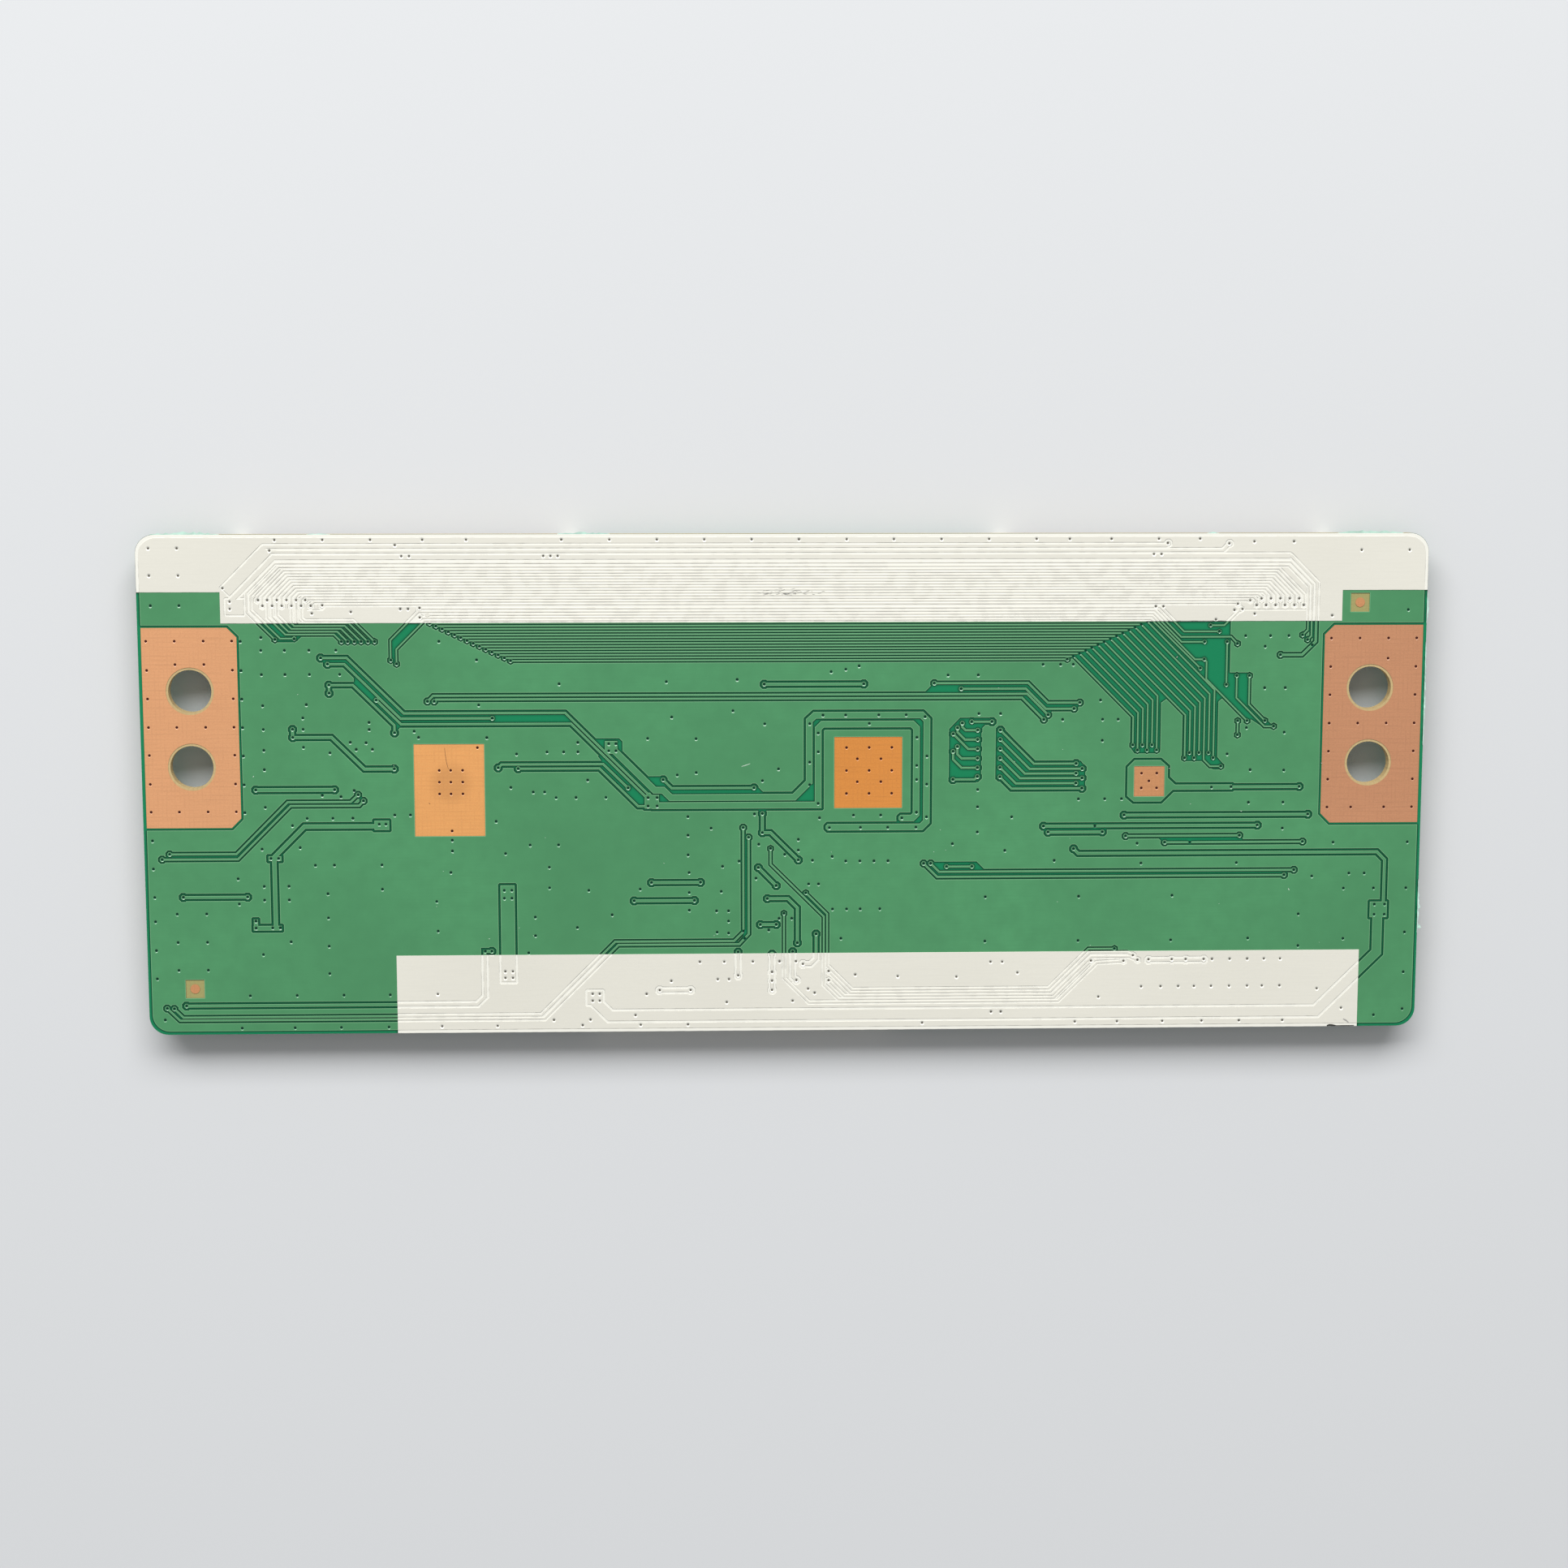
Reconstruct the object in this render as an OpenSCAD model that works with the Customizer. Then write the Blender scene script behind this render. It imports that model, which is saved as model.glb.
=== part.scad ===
// Timing control board of a flat display, lying with its component side down.
// X runs along the board, Y points to the output sockets and Z points up out of the solder side.
// The origin is below the middle of the board, level with the sockets that it rests on.

/* [Board] */
// Length of the laminate
board_w = 135.5; // [126:0.5:145]
// Depth of the laminate
board_d = 53; // [50:0.5:57]
// Thickness of the laminate
board_t = 1.2; // [0.8:0.1:2]
// Radius of the four corners
corner_r = 2; // [0.5:0.1:2.5]
// Width of the bare rim that the copper leaves along the edge
rim_w = 0.35; // [0.2:0.05:0.4]

/* [Mounting holes] */
// Diameter of the unplated holes
hole_d = 4.5; // [3:0.1:4.8]
// Distance from the left end of the board to the middle of its holes
hole_left = 5.25; // [5:0.05:6]
// Distance from the right end of the board to the middle of its holes
hole_right = 5.85; // [5:0.05:6]
// Distance from the upper edge of the board to the middle of the upper holes
hole_top = 16.35; // [15.5:0.05:17]
// Distance between the two holes of a pair
hole_pitch = 8; // [7:0.5:9]
// Width of the ring between a hole and the copper
hole_ring = 0.25; // [0.1:0.05:0.5]

/* [Films] */
// Thickness of the mask over the copper of the solder side
mask_t = 0.09; // [0.07:0.01:0.15]
// Depth of the mask's relief between tracks
relief = 0.05; // [0.03:0.005:0.06]
// Thickness of bare copper
copper_t = 0.05; // [0.03:0.005:0.06]
// Thickness of the mask on the component side
front_t = 0.05; // [0.03:0.01:0.1]
// Thickness of the white ink
ink_t = 0.035; // [0.03:0.005:0.05]
// Depth of the relief that shows through the ink
ink_relief = 0.025; // [0.01:0.005:0.025]

/* [Tracks] */
// Width of a single track
track_w = 0.3; // [0.2:0.02:0.32]
// Width of the gap between a track and the copper plane
gap_w = 0.25; // [0.15:0.01:0.26]
// Diameter of a via's land across its flats
land_d = 0.48; // [0.4:0.02:0.52]
// Distance between the tracks of the long bus
bus_pitch = 0.305; // [0.3:0.001:0.308]
// Width of a bus track
bus_w = 0.145; // [0.12:0.005:0.15]

/* [Ink bands] */
// Depth of the upper band
upper_d = 9.25; // [9.2:0.01:9.28]
// Depth of the upper band at its two ends
tab_d = 6; // [5.5:0.1:6.5]
// Length of the shallow left end of the upper band
tab_left = 8.65; // [8:0.05:9]
// Length of the shallow right end of the upper band
tab_right = 9.05; // [8.5:0.05:9.3]
// Depth of the lower band
lower_d = 8.4; // [8.3:0.05:8.5]
// Distance from the left end of the board to the lower band
lower_left = 26.25; // [25.8:0.05:26.8]
// Distance from the right end of the board to the lower band
lower_right = 6.25; // [5.8:0.05:6.8]

/* [Sockets] */
// Height of the sockets, which the board rests on
socket_h = 2.4; // [2.3:0.1:3]
// Depth of a socket from its tail side to its cable side
socket_depth = 4.6; // [4.4:0.1:5]
// Distance between the contacts
pin_pitch = 0.5; // [0.4:0.05:0.5]
// Number of contacts in each output socket
output_pins = 60; // [40:2:60]
// Number of contacts in the input socket
input_pins = 51; // [31:2:51]
// Distance from an end of the board to the middle of the output socket near it
output_inset = 27.75; // [26:0.25:29]
// Middle of the input socket along the board
input_x = -5; // [-8:0.5:-2]
// Distance from a socket's cable side to the edge of the board
setback = 0.5; // [0.3:0.1:1]
// Width of the ear that carries a lock bar's pivot
ear_w = 1.4; // [1.2:0.1:1.8]
// Running clearance of a lock bar
lock_gap = 0.1; // [0.08:0.01:0.15]

/* [Chips] */
// Side of the controller's body
controller_side = 14; // [13.4:0.2:14]
// Leads along each side of the controller
controller_leads_n = 25; // [20:1:25]
// Side of the regulator's body
regulator_side = 7; // [6:0.5:7]
// Side of the gamma buffer's body
gamma_side = 5; // [4:0.5:5]
// Length of the memory's body
memory_l = 4.9; // [4.8:0.1:5.2]
// Height of the power inductors
inductor_h = 2; // [1.2:0.1:2]
// Height of the diodes
diode_h = 2; // [1.6:0.1:2]

/* [Hidden] */
$fn = 48;
eps = 0.01;

// Levels, from the resting plane up
z_seat = socket_h;
z_front = z_seat + front_t;
z_back = z_front + board_t;
z_mask = z_back + mask_t;

// Colours
mask_green = [0.33, 0.61, 0.42];
ink_white = [0.91, 0.9, 0.86];
copper = [0.88, 0.6, 0.42];
laminate = [0.86, 0.78, 0.56];
tin = [0.78, 0.79, 0.8];
black_resin = [0.12, 0.12, 0.13];
ivory = [0.9, 0.87, 0.78];
brown_resin = [0.36, 0.25, 0.18];
ferrite = [0.28, 0.28, 0.3];
ceramic = [0.72, 0.6, 0.45];

// Coordinates of tracks, pads and chips are those of a board of this size, and move with the real one
drawn_size = [135.5, 53];
function spread(p) = [p.x * board_w / drawn_size.x, p.y * board_d / drawn_size.y];
function spread_all(points) = [for (p = points) spread(p)];
// Place and turn of a small piece that keeps its distance from a chip on any board
function beside(at, dx, dy, turn) =
    [at.x + dx * drawn_size.x / board_w, at.y + dy * drawn_size.y / board_d, turn];

// Places of the chips, the same on both sides of the board
controller_at = [8.6, 1.3];
regulator_at = [-35.6, -0.4];
gamma_at = [38.5, 0.22];
memory_at = [25.5, 3.4];

// Bare copper rectangles: corner and size
controller_pad = [[5, -2.5], [7.2, 7.6]];
regulator_pad = [[-39.3, -5.3], [7.4, 9.8]];
gamma_pad = [[36.9, -1.4], [3.25, 3.25]];
fiducials_at = [[-board_w / 2 + 4.9, -board_d / 2 + 4.95], [board_w / 2 - 7.15, board_d / 2 - 7.3]];
fiducial_window = 2;
fiducial_d = 1;
pad_top = 9.7;
pad_d = 21.1;
pad_left_w = 10.25;
pad_right_w = 10.8;
pad_chamfer = 1;
ink_inset = 0.03;

// Outline helpers

module board_outline(inset = 0) {
    w = board_w - 2 * inset;
    d = board_d - 2 * inset;
    r = corner_r - inset / 2;
    square([w - 2 * r, d], center = true);
    square([w, d - 2 * r], center = true);
    for (x = [-1, 1], y = [-1, 1])
        translate([x * (w / 2 - r), y * (d / 2 - r)])
            circle(r);
}

module at_holes(side = 0) {
    for (x = side == 0 ? [-1, 1] : [side], row = [0, 1])
        translate([x * (board_w / 2 - (x < 0 ? hole_left : hole_right)),
                   board_d / 2 - hole_top - row * hole_pitch])
            children();
}

module ground_pad_shape(side) {
    inner = board_w / 2 - (side < 0 ? pad_left_w : pad_right_w);
    outer = board_w / 2 - rim_w;
    top = board_d / 2 - pad_top;
    bottom = top - pad_d;
    c = pad_chamfer;
    mirror([side < 0 ? 1 : 0, 0])
        polygon([[inner + c, bottom], [outer, bottom], [outer, top], [inner + c, top],
                 [inner, top - c], [inner, bottom + c]]);
}

module pad_rect(pad) {
    translate(spread(pad[0] + pad[1] / 2))
        square(pad[1], center = true);
}

module upper_band_shape() {
    x0 = -board_w / 2 + tab_left;
    x1 = board_w / 2 - tab_right;
    y0 = board_d / 2 - upper_d;
    y1 = board_d / 2 - tab_d;
    intersection() {
        board_outline(ink_inset);
        polygon([[-board_w, y1], [x0, y1], [x0, y0], [x1, y0], [x1, y1], [board_w, y1],
                 [board_w, board_d], [-board_w, board_d]]);
    }
}

module lower_band_shape() {
    translate([-board_w / 2 + lower_left, -board_d / 2])
        square([board_w - lower_left - lower_right, lower_d]);
}

// Track helpers: a route is a list of points along the middle of a track

function unit(v) = v / norm(v);
function left_of(v) = [-v.y, v.x];
function heading(route, i) = unit(route[i + 1] - route[i]);

// Point i of a route, moved sideways so that both neighbouring edges keep their distance
function mitred(route, i, off) =
    let (
        last = len(route) - 1,
        n0 = left_of(heading(route, max(i, 1) - 1)),
        n1 = left_of(heading(route, min(i, last - 1))),
        m = unit(n0 + n1)
    )
    route[i] + m * off / (m * n0);

function strip_outline(route, width) = concat(
    [for (i = [0 : len(route) - 1]) mitred(route, i, width / 2)],
    [for (i = [len(route) - 1 : -1 : 0]) mitred(route, i, -width / 2)]
);

module strips(routes, width) {
    for (route = routes)
        polygon(strip_outline(spread_all(route), width));
}

module lands(places, d, sides = 8) {
    for (p = places)
        translate(spread(p))
            rotate(180 / sides)
                circle(d = d / cos(180 / sides), $fn = sides);
}

thin_w = 0.2;

function both_ends(routes) = [for (r = routes) each [r[0], r[len(r) - 1]]];

// Gap around tracks that all have a land at both ends, as a flat shape
module track_gap(routes, width = track_w, gap = gap_w, land = land_d, sides = 8) {
    difference() {
        union() {
            strips(routes, width + 2 * gap);
            lands(both_ends(routes), land + 2 * gap, sides);
            children();
        }
        strips(routes, width);
        lands(both_ends(routes), land, sides);
    }
}

// The long bus: each track leaves a slanted via row, runs along the board to the other via row,
// drops at 45 degrees and ends below a corner in one of two staggered via groups

bus_n = 14;
bus_land_d = 0.42;
bus_sides = 6;
bus_gap = bus_pitch - bus_w + eps;
bus_y0 = 13.25;
bus_left_x0 = -29;
bus_right_x0 = 29.6;
bus_left_step = 0.645;
bus_right_step = 0.65;
bus_group_x = [36.7, 42.25];
bus_group_n = 6;
bus_drop_pitch = 0.51;
bus_bent = 11;
bus_end_y = [[4.1, 3.55], [2.7, 3.25]];

function bus_y(k) = bus_y0 + k * bus_pitch;
function bus_left(k) = [bus_left_x0 - k * bus_left_step, bus_y(k)];
function bus_right(k) = [bus_right_x0 + k * bus_right_step, bus_y(k)];
function bus_group(k) = k <= bus_group_n ? 0 : 1;
function bus_rank(k) = k - 1 - bus_group(k) * bus_group_n;
function bus_drop_x(k) = bus_group_x[bus_group(k)] + bus_rank(k) * bus_drop_pitch;
function bus_corner(k) = [bus_drop_x(k), bus_right(k).x + bus_right(k).y - bus_drop_x(k)];
function bus_end(k) = [bus_drop_x(k), bus_end_y[bus_group(k)][bus_rank(k) % 2]];
function bus_tail(k) = k == bus_bent
    ? [[bus_drop_x(k), 2.5], [bus_drop_x(k) + 0.7, 1.8], [46.15, 1.8]]
    : [bus_end(k)];
function bus_route(k) = k == 0
    ? [bus_left(0), bus_right(0)]
    : concat([bus_left(k), bus_right(k), bus_corner(k)], bus_tail(k));

bus_routes = [for (k = [0 : bus_n - 1]) bus_route(k)];

// Bare floor below the slanted part of the bus, between its two via groups and beside them
bundle_floor = [
    [37.6, 17.3], [29.6, 13.4], [30.3, 13.3], [36.4, 7.2], [36.4, 3.9], [36.9, 3.2], [39.4, 3.2],
    [39.65, 3.5], [39.65, 8.6], [40.2, 9], [41.95, 7.3], [41.95, 2.7], [42.2, 2.35], [44.1, 2.35],
    [44.75, 1.7], [45.4, 1.45], [46.3, 1.45], [46.55, 1.9], [45.75, 2.8], [45.75, 8.7], [46.2, 9.1],
    [48.6, 6.7], [49.1, 6.9], [50.65, 5.9], [51.9, 5.9], [50.9, 6.8], [49.2, 8.45], [49.2, 11.8],
    [46.9, 11.8], [46.9, 17.3], [38.6, 17.3]
];

// Five tracks above the bus, out to lands on both sides
middle_routes = [
    [[-40.9, 12.95], [-40.9, 14.5], [-37.9, 17.5], [38.4, 17.5], [43.75, 12.25]],
    [[-38.35, 17.8], [38.55, 17.8], [43.15, 13.2], [44.15, 13.2]],
    [[-37.6, 18.1], [38.65, 18.1], [41.7, 15.05], [44.15, 15.05]],
    [[-41.5, 13.35], [-41.5, 15.45], [-38.53, 18.42], [38.8, 18.42], [41.65, 15.58], [46.95, 15.58],
     [47.65, 14.85]],
    [[-38.4, 18.75], [39.35, 18.75], [41.95, 16.15], [45.7, 16.15]]
];
middle_floor = [[-41.4, 13.2], [-41.4, 15.4], [-38.4, 18.4], [-37.8, 17.6], [-40.9, 14.6], [-40.9, 13.1]];

// Short tracks beside the slanted bus
bundle_side_routes = [
    [[44.15, 13.2], [44.4, 12.95], [44.4, 11.1], [48.85, 6.65]],
    [[46.55, 15.05], [46.55, 10.5]],
    [[47.65, 11.45], [47.65, 9.1], [50.7, 6.05], [51.7, 6.05]],
    [[49, 11.45], [49, 8.4], [50.75, 6.65]],
    [[47.85, 6.65], [47.85, 5.15]],
    [[44.75, 16.8], [46.2, 16.8], [47.9, 18.5]]
];

bundle_routes = concat(bus_routes, middle_routes, bundle_side_routes);

// The upper bus under the white ink: fans at both ends drop into two staggered via rows
fan_n = 13;
fan_y0 = 19.18;
fan_pitch = bus_pitch - 0.005;
fan_via_pitch = 0.5;
fan_turn_y = 20.05;
// Where a fan's via rows start, their two levels and the first track that belongs to them
fan_left = [-49.7, [19.05, 19.65], 1];
fan_right = [49.6, [18.95, 19.6], 2];
// Ends of the lowest tracks, which stop short of the via rows
fan_left_short = [[-48.55, 19.05]];
fan_right_short = [[47.6, 19.05], [48.9, 19.42]];

function fan_y(t) = fan_y0 + t * fan_pitch;
function fan_end(t, rows, side) =
    let (
        j = t - rows[2],
        x = rows[0] + side * j * fan_via_pitch,
        via_y = rows[1][j % 2],
        turn_y = max(via_y + 0.05, min(fan_turn_y, fan_y(t) - 0.35))
    )
    [[x, via_y], [x, turn_y], [x - side * (fan_y(t) - turn_y), fan_y(t)]];
function short_end(t, via, side) = [via, [via.x - side * (fan_y(t) - via.y), fan_y(t)]];
function flipped(list) = [for (i = [len(list) - 1 : -1 : 0]) list[i]];
function fan_left_end(t) = t < fan_left[2] ? short_end(t, fan_left_short[t], -1) : fan_end(t, fan_left, -1);
function fan_right_end(t) =
    t < fan_right[2] ? short_end(t, fan_right_short[t], 1) : fan_end(t, fan_right, 1);

// Two tracks that pass outside the via rows at both ends
fan_outer_routes = [
    [[-51.5, 15.65], [-52.95, 15.65], [-55.94, 18.64], [-55.94, 20.13], [-52.95, 23.12],
     [52.88, 23.12], [55.09, 20.91], [55.09, 16.29], [54.55, 15.75]],
    [[-53.5, 15.55], [-56.36, 18.41], [-56.36, 20.44], [-53.3, 23.5], [53.1, 23.5], [55.49, 21.11],
     [55.49, 15.64], [55.1, 15.25]]
];
// Six tracks from the left fan to a row of lands
left_land_routes = [
    [[-54.2, 19.65], [-54.2, 17.86], [-52.4, 16.06], [-47.36, 16.06], [-46.6, 15.3]],
    [[-53.7, 19.05], [-53.7, 17.98], [-52.08, 16.36], [-47.01, 16.36], [-45.95, 15.3]],
    [[-53.2, 19.65], [-53.2, 18.1], [-51.76, 16.66], [-46.61, 16.66], [-45.25, 15.3]],
    [[-51.7, 19.05], [-51.7, 17.2], [-51.46, 16.96], [-46.21, 16.96], [-44.55, 15.3]],
    [[-51.2, 19.65], [-51.2, 17.48], [-50.96, 17.24], [-45.79, 17.24], [-43.85, 15.3]],
    [[-50.7, 19.05], [-50.7, 17.85], [-50.35, 17.5], [-45.35, 17.5], [-43.15, 15.3]]
];
fan_routes = concat(
    [for (t = [0 : fan_n - 1]) concat(fan_left_end(t), flipped(fan_right_end(t)))],
    fan_outer_routes,
    left_land_routes
);
// Bare floor beside the fans: around the outer tracks' lands and along the edges of the copper plane
fan_floors = [
    [[-53.6, 15.25], [-51.4, 15.25], [-51.1, 15.5], [-50.7, 15.85], [-52.3, 15.98], [-53.6, 17.3],
     [-54.9, 17.3], [-53.8, 16]],
    [[-50.1, 18.7], [-50.1, 18.55], [-48.45, 18.55], [-48.2, 18.8], [-48.3, 18.95], [-48.5, 18.7]],
    [[48.4, 18.5], [48.3, 18.36], [54.95, 18.36], [54.95, 18.5]]
];

// The panel supply: a broad strip that splits in two, and a plate that narrows to a long track
panel_w = 1.2;
panel_broad_route = [[-58.5, 20.55], [-54.15, 24.9]];
panel_upper_w = 0.3;
panel_upper_route = [[-54.5, 25.21], [39.86, 25.21], [40.1, 25.45]];
panel_middle_w = 0.26;
panel_middle_route = [[-53.95, 24.69], [45.89, 24.69], [46.6, 25.4]];
panel_lower_w = 0.46;
panel_lower_route = [[-57.95, 19.6], [-53.45, 24.1], [53, 24.1]];
panel_end_w = 0.24;
panel_end_route = [[52.9, 24.1], [53.13, 24.1], [55.96, 21.27], [55.96, 15.06], [54.55, 13.65],
                   [52.25, 13.65]];
panel_pad = [[-58.5, 18.15], [1.85, 1.6]];
panel_gap = 0.2;

// Tracks with a land at both ends that stand alone in the green field
lone_routes = [
    [[-63.8, -11.7], [-57.05, -11.7]],
    [[-14.4, -10.4], [-9.2, -10.4]],
    [[-16.25, -12.35], [-9.85, -12.35]],
    [[-3.05, -8.85], [-1.15, -10.8]],
    [[-2.1, -12.2], [0.1, -12.2], [1.1, -13.2], [1.1, -17]],
    [[-2.85, -15], [-1.15, -15]],
    [[-2.4, 10.7], [8.1, 10.7]],
    [[27.3, -4.55], [50.2, -4.55]],
    [[27.8, -5.2], [33.6, -5.2]],
    [[35.9, -3.4], [55.6, -3.4]]
];
// Tracks with more lands along the way, as pieces that meet at a land
chain_groups = [
    [[[-51.9, 6.1], [-51.9, 5.25]], [[-51.9, 5.25], [-47.85, 5.25], [-44.48, 1.88], [-41.35, 1.88]]],
    [[[-2.62, -3.05], [-2.62, -5.1]], [[-2.62, -5.1], [-1.75, -5.1], [1.2, -8.05]]]
];
lone_groups = concat([for (r = lone_routes) [r]], chain_groups);
// Neighbours that share a gap
pair_groups = [
    [[[-65.1, -7.1], [-58.1, -7.1], [-52.6, -1.6], [-46, -1.6], [-45.2, -0.85]],
     [[-65.9, -7.65], [-57.95, -7.65], [-52.3, -2], [-45.1, -2], [-44.65, -1.5]]],
    [[[14.55, -8.5], [15.95, -9.9], [16, -9.95], [53.2, -9.95]],
     [[15.3, -8.5], [16.2, -9.4], [54.25, -9.4]], [[17, -8.85], [19.7, -8.85]]],
    [[[-37.75, 9], [-37.15, 9.6], [25.4, 9.6], [27.65, 7.35]],
     [[-37.05, 9], [-36.85, 9.2], [24.85, 9.2], [27.2, 6.85]],
     [[15.55, 10.75], [25.5, 10.75], [27.6, 8.65], [31, 8.65]],
     [[18.4, 10.15], [25.25, 10.15], [27.4, 8], [30.4, 8]]],
    [[[36.1, -5.65], [48.3, -5.65]], [[40.3, -6.35], [55.1, -6.35]]]
];
// Bare floor between such neighbours, in the same order
pair_floors = [
    [[-65.5, -7.2], [-58.1, -7.2], [-57.9, -7.6], [-65.5, -7.6]],
    [[15.3, -8.3], [20.2, -8.3], [21.2, -9.3], [52.9, -9.3], [52.9, -9.9], [16, -9.9]],
    [[14.4, 9.7], [15.3, 10.6], [25.4, 10.6], [27.5, 8.5], [31.1, 8.5], [30.6, 7.9], [28.2, 7.9],
     [27.3, 6.8], [25, 9.3]],
    [[39.5, -5.75], [48.4, -5.75], [49, -6.3], [40, -6.3]]
];

// Small fans left and right of the memory
memory_left_routes = [
    [[19.55, 6.65], [21.7, 6.65]],
    [[18.55, 6.5], [18.55, 6.1], [18.9, 5.75], [20.2, 5.75]],
    [[18.05, 6], [18.05, 5.55], [18.85, 4.75], [20.2, 4.75]],
    [[17.6, 5.35], [19.2, 3.75], [20.2, 3.75]],
    [[18.05, 4], [18.05, 3.2], [18.5, 2.75], [20.2, 2.75]],
    [[17.6, 3.5], [17.6, 2.65], [18.5, 1.75], [20.2, 1.75]],
    [[17.6, 0.5], [19.9, 0.5], [20.2, 0.8]]
];
memory_left_floor = [[17.15, 0.2], [20.3, 0.2], [20.6, 0.6], [20.6, 5.9], [21, 6.3], [22, 6.3], [22.15, 6.7],
                     [21.8, 7.1], [18.3, 7.1], [17.15, 5.9]];
memory_right_routes = [
    [[22.6, 5.75], [26.2, 2.15], [30.7, 2.15]],
    [[22.6, 4.75], [25.75, 1.6], [31.35, 1.6]],
    [[22.6, 3.75], [25.25, 1.1], [30.7, 1.1]],
    [[22.6, 2.75], [24.75, 0.6], [31.35, 0.6]],
    [[22.6, 1.75], [24.3, 0.05], [30.7, 0.05]],
    [[22.6, 0.75], [23.85, -0.5], [31.35, -0.5]]
];
memory_right_floor = [[22.1, 0.5], [22.6, 0.4], [23.7, -0.75], [31.4, -0.8], [31.7, -0.4], [31.7, 1.8],
                      [31.2, 2.45], [26.3, 2.45], [22.9, 6], [22.1, 5.8]];

// Power feeds from the left to the controller's ring: thin tracks and wide ones
feed_routes = [
    [[-48.8, 13.6], [-46.1, 13.6], [-40.25, 7.75], [-23.35, 7.75], [-14.6, -1]],
    [[-48.1, 12.95], [-46.35, 12.95], [-40.6, 7.2], [-31, 7.2]],
    [[-48, 9.9], [-48, 10.75], [-45.5, 10.75], [-41.25, 6.5], [-41.25, 5.7]],
    [[-43.1, 9.15], [-40.55, 6.6], [-22.75, 6.6], [-14.7, -1.45]],
    [[-30.45, 1.95], [-30.1, 2.3], [-19.4, 2.3], [-16.8, -0.25]],
    [[-28.35, 1.85], [-19.8, 1.85], [-15.75, -2.2], [-14.8, -2.2]],
    [[-13.1, 0.6], [-12.2, -0.3], [-3.5, -0.3]]
];
feed_w = 0.22;
feed_wide_routes = [
    [[-18.5, 4], [-14, -0.5], [-13.1, -0.5], [-12.3, -1.3], [0.75, -1.3], [2.35, 0.3], [2.35, 6.85],
     [2.95, 7.4], [14.25, 7.4], [14.8, 6.85], [14.8, -4], [14.25, -4.55], [4.45, -4.55]],
    [[-14.3, -2.15], [3.3, -2.15], [3.3, 6], [3.75, 6.45], [13.25, 6.45], [13.7, 6], [13.7, -3.2],
     [13.3, -3.6], [12.2, -3.6]]
];
feed_wide_w = 0.7;
feed_pads = [[[-19.2, 3.4], [1.3, 1.35]], [[-15.05, -2.45], [1.5, 1.45]]];
feed_floors = [
    [[-45.4, 12], [-45.1, 11.9], [-40.5, 7.3], [-39.5, 7.65], [-23.4, 7.65], [-22.4, 6.8], [-22.7, 6.6],
     [-40.4, 6.6], [-41.2, 5.6], [-41, 6.6], [-45.4, 10.9]],
    [[-20.3, 5.05], [-17.7, 5.05], [-17.35, 4.7], [-17.35, 3], [-15.4, 1], [-13, 1], [-12, -0.05],
     [-3.2, -0.05], [-2.4, -0.85], [-13, -1.1], [-18, 3.4], [-19.2, 3.4], [-20, 4.2]],
    [[-20, 3.2], [-19.4, 2.4], [-16, -2], [-15.2, -2.2], [-15.2, -1.2], [-19.4, 3.2]],
    [[-13.6, -1], [-13, -0.9], [-12.2, -1.7], [-13.4, -1.7]],
    [[1.25, -1.6], [2.6, 0.1], [2.6, 6.75], [3.05, 7.2], [14.1, 7.2], [14.6, 6.7], [14.6, -3.9],
     [14.15, -4.3], [11.4, -4.3], [11.9, -3.4], [13.4, -3.4], [13.4, 6.2], [3.6, 6.2], [3.6, -1.9]]
];

// Wide tracks of the input supply
supply_pads = [[[-43.55, -4.6], [1.55, 1]], [[-54.75, -7.85], [1.35, 0.5]], [[-56.5, -15.3], [2.95, 0.5]]];
supply_routes = [
    [[-42.8, -4.2], [-50.9, -4.2], [-54.15, -7.45], [-54.15, -15]],
    [[-56.25, -14.1], [-56.25, -15.2]]
];
supply_w = 0.45;
wide_plain_routes = [[[-55.9, -0.3], [-47.65, -0.3]]];
wide_plain_w = 0.4;
regulator_bar = [[-29.65, -10.6], [-29.65, -21]];
regulator_bar_w = 1.5;
input_bar_route = [[-20.5, -22.3], [-20.5, -23.2], [-18.9, -24.8], [57, -24.8], [63.4, -18.4], [63.4, -14.4]];
input_bar_w = 1.05;
input_pads = [[[-21.3, -23.5], [1.6, 1.4]], [[62.55, -14.6], [1.85, 1.7]]];

// Tracks that run into the lower band
lower_pair_routes = [
    [[-65.1, -23.7], [-64.15, -24.65], [-26.2, -24.65], [-18.3, -16.75], [-5.65, -16.75], [-4.65, -15.75],
     [-4.65, -4.55]],
    [[-65.85, -23.65], [-64.52, -24.98], [-25.87, -25], [-17.97, -17.1], [-5.1, -17.1], [-4.08, -16],
     [-4.08, -5.6]]
];
lower_lone_routes = [
    [[-63.8, -23.4], [-33, -23.4], [-32.15, -22.55], [-32.15, -17.7], [-31.4, -17.7]],
    [[-5.22, -17.95], [-5.22, -20.5]],
    [[3.1, -16.05], [3.1, -18.7], [2.5, -19.3], [1.7, -19.3]],
    [[0.6, -17.95], [0.6, -20.65], [1, -21.05]]
];
lower_chain = [
    [[-1.6, -18.2], [-1.6, -20.15]], [[-1.6, -20.15], [-1.6, -21.1]], [[-1.6, -21.1], [-1.6, -22.1]]
];
lower_groups = concat([for (r = lower_lone_routes) [r]], [lower_chain]);
// Tracks that stay inside the lower band
band_groups = [
    [[[-13.6, -22.05], [-10.3, -22.05]]],
    [[[38.8, -19.1], [41.3, -19.1]], [[41.3, -19.1], [42.8, -19.1]], [[42.8, -19.1], [44.75, -19.1]]]
];
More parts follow.
